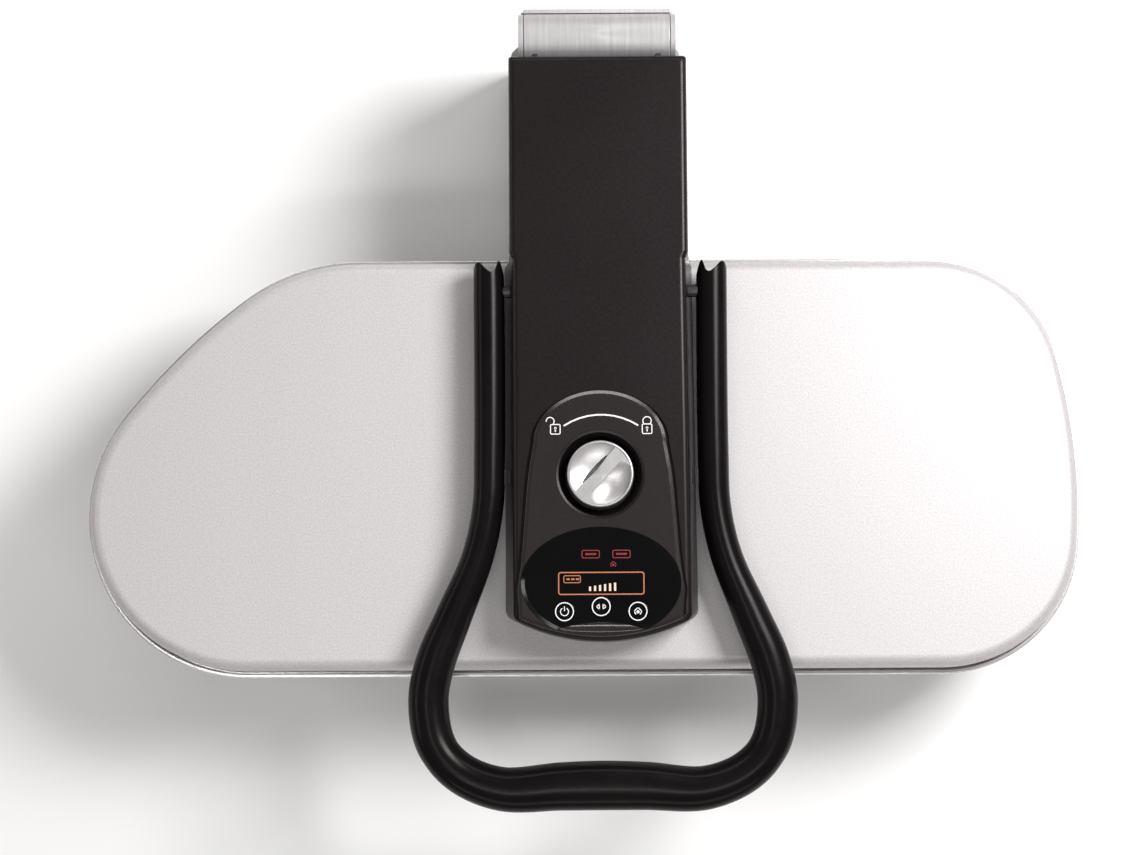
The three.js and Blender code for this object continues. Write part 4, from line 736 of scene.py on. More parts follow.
pivot = {"y": 70.0, "z": 172.0, "sides": 32}
bolts = {"y": (-48.6, -39.4), "z": (166.4, 174)}
arm = {
    "rearHalf": 54.8, "frontHalf": 58.0, "topHalf": 52.8, "foot": 152.0, "top": 190.0,
    "stepY": 92.0, "step": 4.0, "stepRadius": 3.0, "rear": 213.2, "rearCorner": 2.0, "rearLean": 0.3,
    "front": -144.6, "frontRadius": 115.0, "frontCorner": 6.0, "frontCuts": 8, "frontArc": 60,
    "flare": 1.1, "drift": 1.0,
    "edge": 3.6, "edgeDrop": 4.0, "edgeCuts": 7, "topBand": 0.4, "wall": 2.5,
    "lip": 5.0, "lipFoot": 180.0, "lipDeep": 20.0, "groove": 1.8, "grooveDepth": 2.1, "grooveDeep": 8.0,
    "windowHalf": 40.1, "windowY": (208, 215.5), "windowZ": (150, 179.1),
    "pivotHole": 4.6, "pivotReach": 70, "boltReach": 60,
}


def roundCorner(bm, point, radius, cuts=4):
    # Rounds the corner of a flat plan that lies nearest a point
    vert = min(bm.verts, key=lambda v: (v.co.xy - Vector(point)).length)
    a, b = [(edge.other_vert(vert).co - vert.co).normalized() for edge in vert.link_edges]
    half = a.angle(b) / 2
    bmesh.ops.bevel(
        bm, geom=[vert], offset=radius / tan(half), offset_type="OFFSET", affect="VERTICES",
        segments=cuts, profile=0.5, material=-1)


def armPlan(frontHalf, inset, z):
    step, rear = arm["step"], arm["rear"] - inset
    half, rearHalf = frontHalf - inset, arm["rearHalf"] - inset
    if frontHalf < arm["rearHalf"]:
        rearHalf -= arm["rearLean"]
    radius, arcY = arm["frontRadius"] - inset, arm["front"] + arm["frontRadius"]
    wide, drift = half + arm["flare"], arm["drift"]
    spread = asin(wide / radius)
    cornerY = arcY - radius * cos(spread)
    bm = bmesh.new()
    tip = bm.verts.new((drift - wide, cornerY, z))
    tip = spinPoint(bm, tip, (drift, arcY, z), arm["frontArc"], turn=2 * spread)
    line = [
        (half, arm["stepY"] - step), (rearHalf, arm["stepY"]), (rearHalf, rear),
        (-rearHalf, rear), (-rearHalf, arm["stepY"]), (-half, arm["stepY"] - step),
    ]
    for x, y in line:
        tip = linePoint(bm, tip, (x, y, z))
    closePlan(bm)
    for x, y in line:
        roundCorner(bm, (x, y), arm["rearCorner"] if y == rear else arm["stepRadius"])
    for sign in (-1, 1):
        roundCorner(bm, (drift + sign * wide, cornerY), arm["frontCorner"], arm["frontCuts"])
    return bm


def stackPlans(plans):
    # Joins plans of the same corners, one above the other, and leaves the last one's face as the top
    bm = bmesh.new()
    below = []
    for plan in plans:
        mesh = bpy.data.meshes.new("plan")
        plan.to_mesh(mesh)
        plan.free()
        known = set(bm.edges)
        bm.from_mesh(mesh)
        bpy.data.meshes.remove(mesh)
        ring = [edge for edge in bm.edges if edge not in known]
        face = ring[0].link_faces[0]
        if below:
            bmesh.ops.bridge_loops(bm, edges=below + ring)
        if plan is not plans[-1]:
            deleteFaces(bm, [face])
        below = ring
    return bm


def makeArmCover():
    look = arm
    inset, upright = 0, look["top"] - look["edgeDrop"]
    plans = [armPlan(look["frontHalf"], 0, look["foot"]), armPlan(look["topHalf"], 0, upright)]
    edge = quarterRound(look["edge"], look["edgeDrop"], look["edgeCuts"])
    for inward, rise in [*edge, (look["topBand"], 0)]:
        inset, upright = inset + inward, upright + rise
        plans.append(armPlan(look["topHalf"], inset, upright))
    piece = addPiece("arm_housing", shiftX(stackPlans(plans)))
    modify(piece, "SOLIDIFY", thickness=look["wall"] * mm, offset=-1, use_even_offset=True)
    inside, plan = consolePlan(look["lip"], look["lipFoot"])
    raiseFace(inside, plan, [(0, look["lipDeep"])])
    groove, plan = consolePlan(-look["groove"], look["top"] - look["grooveDepth"], look["groove"])
    raiseFace(groove, plan, [(0, look["grooveDeep"])])
    carve(piece, [
        shiftX(inside), shiftX(groove),
        solidBox(acrossArm(look["windowHalf"]), look["windowY"], look["windowZ"]),
        pivotRod(look["pivotHole"], look["pivotReach"]),
        solidBox(acrossArm(look["boltReach"]), bolts["y"], bolts["z"]),
    ])
    finishPiece(piece, "satin_black", "arm", ["arm_cover"])


console = {
    "foot": 187.0, "top": 194.0, "topBand": 0.4,
    "bevel": 0.6, "bevelCuts": 8, "bevelKept": 6, "chamfer": (1.9, 0.84),
    "archHalf": 40.0, "archRise": 31.5, "archY": -24.5, "archCuts": 48,
    "frontHalf": 50.2, "sideY": -113.0, "front": -141.5, "frontRadius": 115.0, "cornerHalf": 49.0,
    "flareShares": ((0.21, 0.31), (0.51, 0.54), (0.81, 0.76)), "flankCuts": 6,
    "knobY": -44.0, "shaftHole": 3.3, "cupRadius": 27.0, "cupFloor": 180.0, "cupWall": 2.0, "cupSeat": 0.2,
    "cupHole": (192.0, 14.0), "cupSides": 128, "cupLip": 0.25, "cupLipBand": (0.4, 0.1),
    "cupBowl": ((21.0, 0.0), (22.2, 2.2), (23.4, 5.6), (24.4, 9.6), (25.1, 12.6), (25.3, 13.9)),
    "lensHalf": (48.0, 33.6), "lensY": -109.5, "lensSides": 128, "lensSeat": 192.2, "seatTop": 200.0,
    "lensGap": 0.3, "lensTop": 194.3, "lensFoot": 192.5, "lensBevel": 2.2, "lensRise": 0.29, "lensBand": 0.3,
    "scoopRadius": 84.0, "scoopEdge": -132.7, "scoopCut": (195.0, 30.0), "scoopSides": 360,
    "dishSize": (26.5, 3.6, 1.8), "dishY": -136.0, "dishLift": 0.3, "dishSides": (64, 32),
}


def consolePlan(inset, z, shorter=0):
    look = console
    bm = bmesh.new()
    arch, rise = look["archHalf"] - inset, look["archRise"] - inset - shorter
    tip = bm.verts.new((look["frontHalf"] - inset, look["sideY"], z))
    flank = [
        (look["archHalf"] + across * (look["frontHalf"] - look["archHalf"]) - inset,
         look["archY"] + along * (look["sideY"] - look["archY"]))
        for along, across in look["flareShares"]
    ]
    # The flank is a smooth line through its marks, from the front up to the arch
    marks = [(look["frontHalf"] - inset, look["sideY"]), *reversed(flank), (arch, look["archY"])]
    line = smoothLine([Vector((x, y, z)) for x, y in marks], look["flankCuts"])
    for point in line[1:]:
        tip = linePoint(bm, tip, point)
    for k in range(1, look["archCuts"] + 1):
        angle = pi * k / look["archCuts"]
        tip = linePoint(bm, tip, (arch * cos(angle), look["archY"] + rise * sin(angle), z))
    for point in reversed(line[:-1]):
        tip = linePoint(bm, tip, (-point.x, point.y, z))
    radius = look["frontRadius"] - inset
    arcY = look["front"] + look["frontRadius"] + 2 * shorter
    spread = asin((look["cornerHalf"] - inset) / radius)
    tip = linePoint(bm, tip, (-radius * sin(spread), arcY - radius * cos(spread), z))
    spinPoint(bm, tip, (0, arcY, z), 2 * spread * 180 / pi)
    return bm, closePlan(bm)


def smoothLine(points, cuts):
    # A smooth line through points, even where they are unevenly spaced
    ends = [2 * points[0] - points[1], *points, 2 * points[-1] - points[-2]]
    line = []
    for a, b, c, d in zip(ends, ends[1:], ends[2:], ends[3:]):
        before, here, after = [sqrt((q - p).length) for p, q in ((a, b), (b, c), (c, d))]
        leaving = ((b - a) / before - (c - a) / (before + here) + (c - b) / here) * here
        arriving = ((c - b) / here - (d - b) / (here + after) + (d - c) / after) * here
        for k in range(cuts):
            s = k / cuts
            line.append(
                b + s * leaving + s * s * (3 * (c - b) - 2 * leaving - arriving)
                + s ** 3 * (2 * (b - c) + leaving + arriving))
    return [*line, points[-1]]


def ovalSolid(grow, foot, top):
    # The display's oval, and its top face
    across, along = [half + grow for half in console["lensHalf"]]
    bm, face = flatOval(across, along, (armX, console["lensY"], foot), console["lensSides"])
    return bm, raiseFace(bm, face, [(0, top - foot)])


def dishTool():
    # The finger scoop in front of the display, as a flattened ball
    look = console
    middle = (armX, look["dishY"], look["top"] + look["dishLift"])
    return solidBall(look["dishSize"], middle, look["dishSides"])


def scoopTool(grow=0.0):
    # The round that takes the front of the oval away along the scoop's upper edge
    look = console
    middle, height = look["scoopCut"]
    return solidRod(
        look["scoopRadius"] - grow, (armX, look["scoopEdge"] - look["scoopRadius"], middle), height,
        look["scoopSides"])


keys = {
    "radius": 6.3, "foot": 187.6, "top": 194.9, "round": 0.5, "roundCuts": 4, "topBand": 0.3, "sides": 64,
    "gap": 0.3, "hole": (190, 12), "holeSides": 48,
    "places": (("power", -22.0, -126.5), ("mode", 0.0, -123.6), ("steam", 22.0, -126.5)),
}


def keyHoles():
    middle, height = keys["hole"]
    return [
        solidRod(keys["radius"] + keys["gap"], (armX + x, y, middle), height, keys["holeSides"])
        for _, x, y in keys["places"]
    ]


def makeConsole():
    look = console
    bm, plan = consolePlan(0, look["foot"])
    inward, rise = look["chamfer"]
    roundOff = quarterRound(look["bevel"], look["bevel"], look["bevelCuts"])[:look["bevelKept"]]
    upright = look["top"] - look["foot"] - rise - sum(step[1] for step in roundOff)
    raiseFace(bm, plan, [(0, upright), *roundOff, (inward, rise), (look["topBand"], 0)])
    piece = addPiece("console_tongue", shiftX(bm))
    seat, _ = ovalSolid(look["lensGap"], look["lensSeat"], look["seatTop"])
    seat = addPiece("lensSeat", seat)
    holeMiddle, holeHeight = look["cupHole"]
    carve(piece, [
        solidRod(
            look["cupRadius"] - look["cupSeat"], (armX, look["knobY"], holeMiddle), holeHeight,
            look["cupSides"]),
        takeSolid(carve(seat, [scoopTool(look["lensGap"])])),
        dishTool(),
        *keyHoles(),
    ])
    # The tongue wears the paler black, whose base colour is painted sheen
    finishPiece(piece, "console_black_painted_sheen", "arm", ["console_panel"], sharp=20)


def makeCup():
    # The cup is a bowl whose lip stands a little proud of the tongue
    look = console
    outer, floor, hole = look["cupRadius"], look["cupFloor"], look["shaftHole"]
    lip = look["top"] + look["cupLip"]
    wide, narrow = look["cupLipBand"]
    profile = [(hole, floor), *[(radius, floor + rise) for radius, rise in look["cupBowl"]]]
    profile += [(outer - wide, lip), (outer - narrow, lip), (outer, lip - narrow)]
    profile += [(outer, floor - look["cupWall"]), (hole, floor - look["cupWall"]), (hole, floor)]
    cup = addPiece("knob_cup", lathe(profile, (armX, look["knobY"], 0)))
    finishPiece(cup, "satin_black", "arm", sharp=20)


def makeLens():
    look = console
    bm, top = ovalSolid(0, look["lensFoot"], look["lensTop"] - look["lensRise"])
    raiseFace(bm, top, [(look["lensBevel"], look["lensRise"]), (look["lensBand"], 0)])
    piece = addPiece("display_glass", bm)
    carve(piece, [scoopTool(), *keyHoles()])
    finishPiece(piece, "gloss_black", "arm", ["display_lens"], sharp=4)


def makeKeys():
    edge = keys["round"]
    for name, x, y in keys["places"]:
        bm, face = flatOval(keys["radius"], keys["radius"], (armX + x, y, keys["foot"]), keys["sides"])
        raiseFace(bm, face, [
            (0, keys["top"] - keys["foot"] - edge), *quarterRound(edge, edge, keys["roundCuts"]),
            (keys["topBand"], 0),
        ])
        piece = addObject(f"touch_key_{name}", toMesh(bm, name))
        finishPiece(piece, "gloss_black", f"{name}_key", [f"key_{name}"])


makeArmCover()
makeConsole()
makeCup()
makeLens()
makeKeys()
print("steam press: arm and console made")


# Lock knob: a chrome disc with two sloping scoops either side of a straight rib

knob = {
    "radius": 20.0, "foot": 180.6, "top": 198.6, "round": 0.9, "roundCuts": 6, "skirt": 0.8,
    "rim": 1.5, "rimDrop": 0.5, "rimSlope": 0.2, "rib": 7.6, "bearing": 48.0, "soften": 0.25,
    "overrun": 2.0, "sides": 96, "ballSides": (96, 64), "slitSides": 32,
    "scoops": (
        {"turn": 0, "deep": 5.0, "ball": (34.0, 28.0, 28.0), "ballY": 5.0},
        {"turn": 180, "deep": 5.0, "ball": (24.0, 19.0, 19.0), "ballY": 10.0},
    ),
    "slit": (11.0, 1.3, 15.0),
}


def placeOnKnob(bm, turn=0):
    bmesh.ops.rotate(bm, verts=bm.verts, matrix=Matrix.Rotation(radians(knob["bearing"] + turn), 3, "Z"))
    return moved(bm, (armX, console["knobY"], 0))


def moonTool(scoop):
    # One scoop: a slice of a disc with a hollow floor, deepest beside the rib
    low, radius = knob["top"] - scoop["deep"], knob["radius"] - knob["rim"]
    bm, _ = flatOval(radius, radius, (0, 0, low - knob["overrun"]), knob["sides"])
    bmesh.ops.bisect_plane(
        bm, geom=bm.verts[:] + bm.edges[:] + bm.faces[:], plane_co=(0, knob["rib"] / 2, 0),
        plane_no=(0, 1, 0), clear_inner=True)
    raiseFace(bm, bm.faces[:][0], [(0, scoop["deep"] + 2 * knob["overrun"])])
    blank = addPiece("knobSlice", bm)
    ball = solidBall(scoop["ball"], (0, scoop["ballY"], low + scoop["ball"][2]), knob["ballSides"])
    return placeOnKnob(takeSolid(carve(blank, [ball], "INTERSECT")), scoop["turn"])


def slitTool():
    # The narrow cut beside the rib, widest in its middle
    length, width, depth = knob["slit"]
    middle = (0, (knob["rib"] + width) / 2, knob["top"] - depth)
    bm, face = flatOval(length, width, middle, knob["slitSides"])
    raiseFace(bm, face, [(0, depth + 2 * knob["overrun"])])
    return placeOnKnob(bm)


def makeKnob():
    radius, foot, top, edge, slope = [knob[key] for key in ("radius", "foot", "top", "round", "rimSlope")]
    profile = [(0, foot), (radius - knob["skirt"], foot), (radius, foot + knob["skirt"])]
    profile += [
        (radius - edge + edge * cos(a), top - edge + edge * sin(a))
        for a in (pi / 2 * k / knob["roundCuts"] for k in range(knob["roundCuts"] + 1))
    ]
    face = top - knob["rimDrop"]
    profile += [(radius - edge - slope, top), (radius - knob["rim"] - slope, face), (0, face)]
    piece = addPiece("dial_knob", lathe(profile, (armX, console["knobY"], 0)))
    carve(piece, [*[moonTool(scoop) for scoop in knob["scoops"]], slitTool()])
    soften(piece, knob["soften"], 40, 3)
    finishPiece(piece, "chrome", "knob", ["lock_knob"], sharp=30)


makeKnob()
print("steam press: knob made")


# Handle: one tube swept from the tail of the left leg, round the grip, to the tail of the right leg

handle = {
    "middle": 1.0, "legX": 68.2, "legHalf": 9.5, "tailY": 88.0,
    "reach": 106.3, "gripY": -230.8, "gripHalf": 15.0, "bowHalf": 12.3, "gripHeight": 12.0, "bowShare": 0.858,
    "legShares": (
        (0, 0.33), (0.03, 0.44), (0.195, 0.54), (0.58, 0.66), (0.88, 0.755), (0.985, 0.83), (0.865, 0.917),
    ),
    "gripShares": ((0.82, 0.972), (0.58, 1.006), (0.24, 1.0015)),
    "cuts": 12, "sides": 64, "taper": 0.6, "taperY": 70.0,
    "mouth": (
        (-2, 74), (-0.4, 77), (0.7, 81.5), (2.0, 86.2), (3.3, 88.4), (4.6, 85.6), (5.8, 82.2), (7.4, 80.9),
        (9.6, 81.8), (12.2, 84.2), (14.9, 87.0), (16.9, 87.2), (18.6, 84.6), (19.6, 81.5), (21, 79),
    ),
    "mouthCuts": 4, "mouthRear": 100.0, "mouthHalf": 20.0,
    "ridge": 0.10, "ridgeBearing": 55.0, "ridgeSpread": 20.0, "bed": 0.03,
    "pivotHole": 4.3, "pivotBite": 3.6, "boltFrom": 50.0, "boltTo": 62.7, "soften": 0.5,
}


def handlePath():
    look = handle
    spread, run = look["reach"] - look["legX"], look["gripY"] - pivot["y"]
    half = [(look["legX"], look["tailY"])]
    half += [(look["legX"] + out * spread, pivot["y"] + along * run) for out, along in look["legShares"]]
    half += [(across * look["reach"], pivot["y"] + along * run) for across, along in look["gripShares"]]
    points = [(-x, y) for x, y in half] + [(0, look["gripY"])] + list(reversed(half))
    return smoothLine([Vector((x, y, pivot["z"])) for x, y in points], look["cuts"])


def smoothStep(x, low, high):
    t = min(1, max(0, (x - low) / (high - low)))
    return t * t * (3 - 2 * t)


def toGrip(point):
    # 0 on the legs and the bow, and 1 in the middle of the grip
    bowY = pivot["y"] + handle["bowShare"] * (handle["gripY"] - pivot["y"])
    return smoothStep(handle["reach"] - abs(point.x), 0, handle["reach"]) if point.y < bowY else 0


def handleSection(point):
    look = handle
    toBow = max(
        smoothStep(abs(point.x), look["legX"], look["reach"]),
        smoothStep(-point.y, -arm["front"], -look["gripY"]))
    width = (
        look["legHalf"] + toBow * (look["bowHalf"] - look["legHalf"])
        + toGrip(point) * (look["gripHalf"] - look["bowHalf"]))
    forward = smoothStep(-point.y, -pivot["y"], -look["gripY"])
    return width, look["legHalf"] + forward * (look["gripHeight"] - look["legHalf"])


def mouthTool(side):
    # What the tail of a leg leaves free: a slanted mouth between two points, and their rounded shoulders
    look = handle
    inner = side * look["middle"] + look["legX"] - look["legHalf"]
    foot = pivot["z"] - look["mouthHalf"]
    line = smoothLine([Vector((side * (inner + x), y, foot)) for x, y in look["mouth"]], look["mouthCuts"])
    line += [Vector((side * (inner + look["mouth"][k][0]), look["mouthRear"], foot)) for k in (-1, 0)]
    bm = bmesh.new()
    tip = bm.verts.new(line[0])
    for point in line[1:]:
        tip = linePoint(bm, tip, point)
    raiseFace(bm, closePlan(bm), [(0, 2 * look["mouthHalf"])])
    return shiftX(bm)


def sweepHandle():
    # Gives the tube, and each of its rings with its place and its share of the grip
    path = handlePath()
    bm = bmesh.new()
    ring = bmesh.ops.create_circle(bm, cap_ends=False, segments=handle["sides"], radius=1)["verts"]
    placed = Matrix.Identity(4)
    rings = []
    for k, point in enumerate(path):
        ahead = (path[min(k + 1, len(path) - 1)] - path[max(k - 1, 0)]).normalized()
        width, height = handleSection(point)
        side = Vector((ahead.y, -ahead.x, 0))
        target = Matrix((
            (side.x * width, 0, ahead.x, point.x),
            (side.y * width, 0, ahead.y, point.y),
            (0, height, 0, point.z),
            (0, 0, 0, 1),
        ))
        if k:
            edges = [e for e in bm.edges if all(v in ring for v in e.verts)]
            made = bmesh.ops.extrude_edge_only(bm, edges=edges)["geom"]
            ring = [item for item in made if isinstance(item, bmesh.types.BMVert)]
        bmesh.ops.transform(bm, matrix=target @ placed.inverted(), verts=ring)
        placed = target
        rings.append((list(ring), target, toGrip(point)))
    ends = [e for e in bm.edges if len(e.link_faces) == 1]
    bmesh.ops.holes_fill(bm, edges=ends, sides=handle["sides"])
    return bm, rings


def makeHandle():
    look = handle
    bm, rings = sweepHandle()
    # A soft ridge runs along the rear of the grip's top, with a shallow bed behind it
    for ring, target, share in rings:
        inward = target.inverted()
        for vert in ring:
            local = inward @ vert.co
            turn = (atan2(local.y, -local.x) * 180 / pi - look["ridgeBearing"]) / look["ridgeSpread"]
            swell = 1 + share * (look["ridge"] * exp(-turn ** 2) - look["bed"] * exp(-(turn + 2) ** 2))
            vert.co = target @ Vector((local.x * swell, local.y * swell, local.z))
    # The tails of the legs thin a little on their inner side
    for vert in bm.verts:
        tail = smoothStep(vert.co.y, look["taperY"], look["tailY"])
        inner = (look["legX"] + look["legHalf"] - abs(vert.co.x)) / (2 * look["legHalf"])
        vert.co.x += (1 if vert.co.x > 0 else -1) * look["taper"] * tail * inner
    piece = addPiece("grip_loop", shiftX(bm, armX + look["middle"]))
    pockets = [sorted((armX + side * look["boltFrom"], armX + side * look["boltTo"])) for side in (-1, 1)]
    carve(piece, [
        *[mouthTool(side) for side in (-1, 1)],
        *[solidBox(xs, bolts["y"], bolts["z"]) for xs in pockets],
        pivotRod(look["pivotHole"], look["legX"] + look["pivotBite"]),
    ])
    soften(piece, look["soften"], 50, 2)
    finishPiece(piece, "soft_black", "handle", ["handle_loop"], sharp=40)


makeHandle()
print("steam press: handle made")


# Hinge cap: half a barrel with closed, rounded ends

hingeCap = {
    "y": 228.8, "z": 166.0, "radius": 15.25, "half": 45.25, "round": 0.9,
    "open": 0.4, "wall": 1.2, "cuts": 48,
}


def makeHingeCap():
    look = hingeCap
    radius, half, edge = look["radius"], look["half"], look["round"]
    bm = bmesh.new()
    tip = bm.verts.new((-half, look["open"], 0))
    tip = linePoint(bm, tip, (-half, radius - edge, 0))
    tip = spinPoint(bm, tip, (-half + edge, radius - edge, 0), -90)
    tip = linePoint(bm, tip, (half - edge, radius, 0))
    tip = spinPoint(bm, tip, (half - edge, radius - edge, 0), -90)
    linePoint(bm, tip, (half, look["open"], 0))
    bmesh.ops.spin(
        bm, geom=bm.verts[:] + bm.edges[:], cent=(0, 0, 0), axis=(1, 0, 0), angle=pi, steps=look["cuts"])
    piece = addPiece("hinge_barrel", moved(bm, (armX, look["y"], look["z"])))
    modify(piece, "SOLIDIFY", thickness=look["wall"] * mm, offset=-1, use_even_offset=True)
    finishPiece(piece, "brushed_silver", "arm", ["hinge_cap"])


makeHingeCap()


# Parts whose solid is right already: a copy with softened edges stands for each

softened = {
    "base_shell": 1.2, "board_pedestal": 0.8, "column_cover": 0.7, "water_tank": 0.5, "tank_lid": 0.4,
    "tank_cap": 0.6, "tank_grip": 1.0, "cord_gland": 0.4,
    "arm_underside": 0.3, "arm_frame": 0.3, "hinge_yoke": 0.3,
    **{f"foot_{row}_{side}": 0.5 for row in ("front", "rear") for side in ("left", "right")},
    "heating_plate": 0.4,
}
softening = {"weld": 0.00001, "flat": 0.5, "sliver": 0.00002, "angle": 35, "segments": 3}


def softenNode(name, width):
    source = frame["nodes"][name]
    bm = bmesh.new()
    bm.from_mesh(source.data)
    bmesh.ops.remove_doubles(bm, verts=bm.verts, dist=softening["weld"])
    bmesh.ops.dissolve_limit(bm, angle_limit=radians(softening["flat"]), verts=bm.verts, edges=bm.edges)
    bmesh.ops.dissolve_degenerate(bm, dist=softening["sliver"], edges=bm.edges)
    mesh = bpy.data.meshes.new(name + "_soft")
    bm.to_mesh(mesh)
    bm.free()
    piece = addObject(name + "_soft", mesh)
    soften(piece, width, softening["angle"], softening["segments"])
    finish = source.data.materials[0].name.replace("press_", "")
    finishPiece(piece, "dark_steel" if name == "arm_frame" else finish, source["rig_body"], [name])


for name, width in softened.items():
    softenNode(name, width)
print("steam press: housings softened")


# Printed marks: thin strokes on the console, the display and the keys

ink = {"thick": 0.05, "lift": 0.045, "leastCuts": 4, "arcStep": 8, "dotSides": 20}


class Inking:
    # Collects strokes of one colour that lie just above one height
    def __init__(self, z):
        self.bm = bmesh.new()
        self.z = z + ink["lift"]

    def arc(self, centre, radius, width, start, degrees):
        vert = self.bm.verts.new((radius - width / 2, 0, self.z))
        tip = linePoint(self.bm, vert, (radius + width / 2, 0, self.z))
        edge = [vert, tip, self.bm.edges.get((vert, tip))]
        bmesh.ops.rotate(self.bm, verts=[vert, tip], matrix=Matrix.Rotation(radians(start), 3, "Z"))
        bmesh.ops.spin(
            self.bm, geom=edge, cent=(0, 0, 0), axis=(0, 0, 1), angle=radians(degrees),
            steps=max(ink["leastCuts"], ceil(abs(degrees) / ink["arcStep"])), use_merge=degrees == 360)
        bmesh.ops.translate(self.bm, verts=self.island(vert), vec=(armX + centre[0], centre[1], 0))

    def island(self, seed):
        # All points that hang together with one
        seen, queue = {seed}, [seed]
        while queue:
            for edge in queue.pop().link_edges:
                for vert in edge.verts:
                    if vert not in seen:
                        seen.add(vert)
                        queue.append(vert)
        return list(seen)

    def line(self, start, end, width):
        run = Vector(end) - Vector(start)
        made = bmesh.ops.create_grid(self.bm, x_segments=1, y_segments=1, size=0.5)["verts"]
        bmesh.ops.scale(self.bm, vec=(run.length + width, width, 1), verts=made)
        bmesh.ops.rotate(self.bm, verts=made, matrix=Matrix.Rotation(atan2(run.y, run.x), 3, "Z"))
        middle = (Vector(end) + Vector(start)) / 2
        bmesh.ops.translate(self.bm, verts=made, vec=(armX + middle.x, middle.y, self.z))

    def dot(self, centre, radius):
        made = bmesh.ops.create_circle(
            self.bm, cap_ends=True, segments=ink["dotSides"], radius=radius)["verts"]
        bmesh.ops.translate(self.bm, verts=made, vec=(armX + centre[0], centre[1], self.z))

    def frameBox(self, xs, ys, radius, width):
        # A rounded frame of four lines and four quarter arcs
        short = radius + width / 2
        for x in xs:
            self.line((x, ys[0] + short), (x, ys[1] - short), width)
        for y in ys:
            self.line((xs[0] + short, y), (xs[1] - short, y), width)
        for x, y, start in (
            (xs[0] + radius, ys[0] + radius, 180), (xs[1] - radius, ys[0] + radius, 270),
            (xs[1] - radius, ys[1] - radius, 0), (xs[0] + radius, ys[1] - radius, 90),
        ):
            self.arc((x, y), radius, width, start, 90)

    def print(self, name, finish, body):
        piece = addPiece(name, self.bm)
        modify(piece, "SOLIDIFY", thickness=ink["thick"] * mm, offset=0)
        finishPiece(piece, finish, body)


padlockLook = {
    "size": 5.8, "corner": 0.8, "line": 0.58, "eye": (0.6, 0.75), "slot": (0.4, -1.2, 0.7), "rise": 1.9,
}


def padlock(marks, x, y, shackle):
    # A square body with a keyhole, and a shackle that is shut or swung open
    look = padlockLook
    half = look["size"] / 2
    marks.frameBox((x - half, x + half), (y - half, y + half), look["corner"], look["line"])
    marks.dot((x, y + look["eye"][0]), look["eye"][1])
    high, low, width = look["slot"]
    marks.line((x, y + high), (x, y + low), width)
    aside, radius, start, degrees = shackle
    marks.arc((x + aside, y + half + look["rise"]), radius, look["line"], start, degrees)


consoleMarks = {
    "locks": ((-26.9, -16.8, (-3.1, 2.4, -45, 230)), (28.4, -16.8, (0, 2.5, -40, 260))),
    "sweep": ((0.6, -49.3), 41.2, 0.95, 57, 66),
}


def printConsole():
    white = Inking(console["top"])
    for x, y, shackle in consoleMarks["locks"]:
        padlock(white, x, y, shackle)
    white.arc(*consoleMarks["sweep"])
    white.print("lock_marks", "white_ink", "arm")


displayMarks = {
    "lamps": (-6.1, 12.4), "lampHalf": 5.2, "lampY": (-94.4, -89.9), "lampCorner": 0.9, "lampLine": 0.55,
    "dash": (-92.1, 2.2, 0.5, 1.1), "sign": (7.4, -98.3, 1.0),
    "frames": (((-25.4, 25.7), (-116.2, -103.1), 1.4, 0.7), ((-22.3, -12.4), (-109.2, -105.0), 0.8, 0.5)),
    "dots": (-20.2, 2.8, -107.1, 1.0), "dotCount": 3,
    "bars": (-6.6, 3.0, -113.6, 1.3), "barRise": (1.4, 0.45), "barCount": 6,
}


def printDisplay():
    look = displayMarks
    red, orange, lit = [Inking(console["lensTop"]) for _ in range(3)]
    half, (dashY, pitch, dashHalf, dashLine) = look["lampHalf"], look["dash"]
    for x in look["lamps"]:
        red.frameBox((x - half, x + half), look["lampY"], look["lampCorner"], look["lampLine"])
        for k in (-1, 0, 1):
            red.line((x + k * pitch - dashHalf, dashY), (x + k * pitch + dashHalf, dashY), dashLine)
    steamSign(red, *look["sign"])
    red.print("lamp_marks", "red_ink", "arm")
    for box in look["frames"]:
        orange.frameBox(*box)
    left, pitch, y, width = look["dots"]
    for x in (left + pitch * k for k in range(look["dotCount"])):
        orange.line((x, y), (x + width, y), width)
    orange.print("readout_frame", "orange_ink", "arm")
    (left, pitch, y, width), (first, more) = look["bars"], look["barRise"]
    for k in range(look["barCount"]):
        lit.line((left + pitch * k, y), (left + pitch * k, y + first + more * k), width)
    lit.print("readout_bars", "lit_ink", "arm")


steamLook = {"drop": (-0.3, 0.75), "eaves": 1.9, "ends": ((0, 1.8), (1.1, -1.3)), "line": 0.45}


def steamSign(marks, x, y, size):
    # A drop under a peaked roof of steam
    look = steamLook
    marks.dot((x, y + look["drop"][0] * size), look["drop"][1] * size)
    for aside, rise in look["ends"]:
        for sign in (-1, 1):
            end = (x + sign * aside * size, y + rise * size)
            marks.line((x + sign * look["eaves"] * size, y), end, look["line"] * size)


keyMarks = {
    "ring": (5.35, 0.6, 0, 360), "line": 0.5, "power": (2.4, 0.5, 125, 290), "stem": (0.6, 2.9),
    "arrow": ((2.9, 0), (1.1, 1.5), (1.1, -1.5)), "steam": 1.25,
}


def printKeys():
    look = keyMarks
    for name, x, y in keys["places"]:
        white = Inking(keys["top"])
        white.arc((x, y), *look["ring"])
        if name == "power":
            white.arc((x, y), *look["power"])
            white.line((x, y + look["stem"][0]), (x, y + look["stem"][1]), look["line"])
        elif name == "mode":
            for sign in (-1, 1):
                tip, high, low = [(x + sign * a, y + b) for a, b in look["arrow"]]
                for start, end in ((tip, high), (tip, low), (high, low)):
                    white.line(start, end, look["line"])
        else:
            steamSign(white, x, y, look["steam"])
        white.print(f"key_marks_{name}", "white_ink", f"{name}_key")


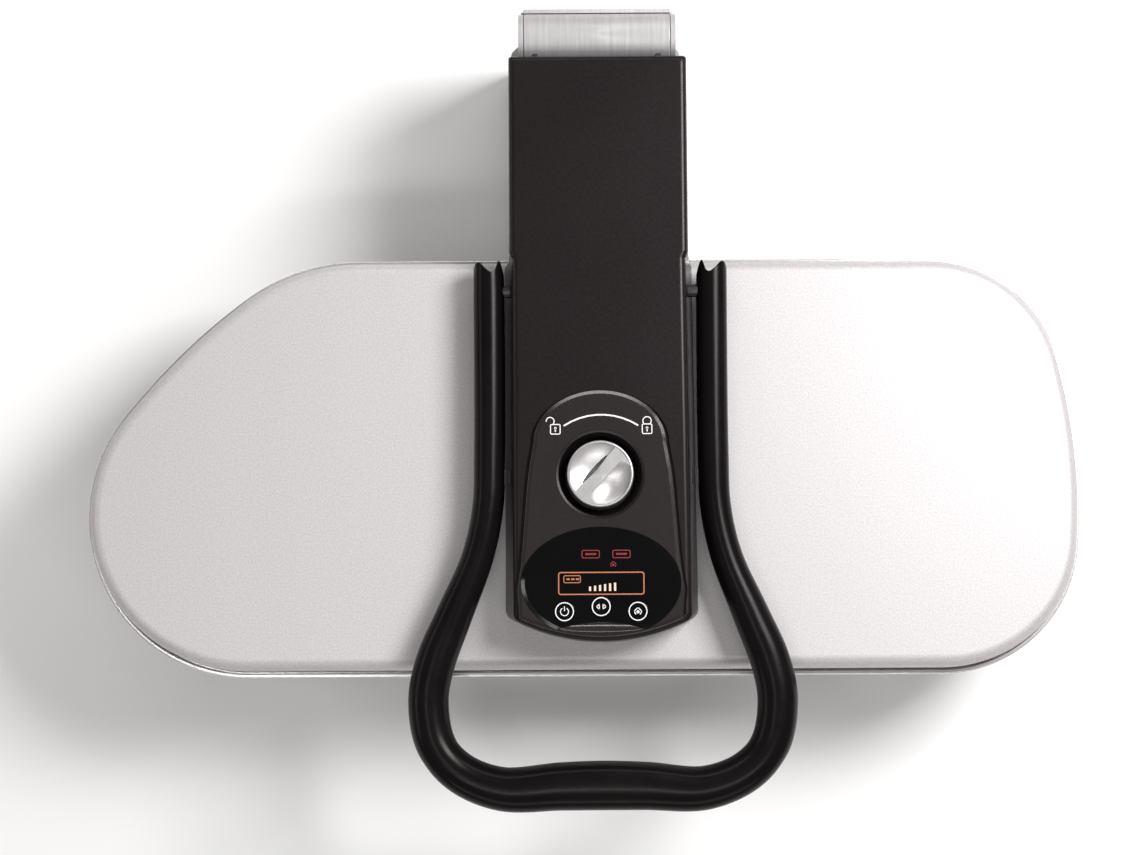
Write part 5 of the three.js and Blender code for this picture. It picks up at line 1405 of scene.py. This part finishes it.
printConsole()
printDisplay()
printKeys()
print("steam press: marks printed")


# Studio: a pale floor, a soft key lamp from the upper right, and five lamps for fill and for the gloss

studio = {
    "floor": (0.93, 0.925, 0.92), "floorHalf": 4000, "floorRough": 0.9,
    "sky": 0.18, "skyColour": (1, 0.94, 0.895), "aim": (0, 0, 120),
    "lamps": {
        "key": {"place": (800, 420, 1380), "size": (480, 620), "power": 24.5},
        "left": {"place": (-1500, 100, 700), "size": (1400, 300), "power": 3},
        "front": {"place": (60, -640, 1600), "size": (1000, 140), "power": 4.5},
        "low": {"place": (0, -1700, 750), "size": (2400, 300), "power": 5.5},
        "rear": {"place": (0, 1500, 1300), "size": (2600, 220), "power": 10},
        "strip": {"place": (-330, -250, 1640), "size": (520, 90), "power": 1.1},
    },
}


def softLight(name, place, size, power):
    data = bpy.data.lights.new(name, "AREA")
    data.shape = "RECTANGLE"
    data.size, data.size_y = size[0] * mm, size[1] * mm
    data.energy = power
    lamp = bpy.data.objects.new(name, data)
    bpy.context.scene.collection.objects.link(lamp)
    turned = (Vector(studio["aim"]) - Vector(place)).to_track_quat("-Z", "Y")
    lamp.matrix_world = Matrix.Translation(Vector(place) * mm) @ turned.to_matrix().to_4x4()


def makeStudio():
    bm = bmesh.new()
    bmesh.ops.create_grid(bm, x_segments=2, y_segments=2, size=studio["floorHalf"])
    floor = addPiece("studio_floor", bm)
    material = bpy.data.materials.new("studio_floor")
    material.use_nodes = True
    shader = material.node_tree.nodes["Principled BSDF"]
    shader.inputs["Base Color"].default_value = (*studio["floor"], 1)
    shader.inputs["Roughness"].default_value = studio["floorRough"]
    floor.data.materials.append(material)
    world = bpy.data.worlds.new("studio_sky")
    world.use_nodes = True
    sky = world.node_tree.nodes["Background"]
    sky.inputs["Color"].default_value = (*studio["skyColour"], 1)
    sky.inputs["Strength"].default_value = studio["sky"]
    bpy.context.scene.world = world
    bpy.context.scene.view_settings.view_transform = "Standard"
    for name, lamp in studio["lamps"].items():
        softLight(name + "_light", **lamp)


makeStudio()
print("steam press: studio ready")
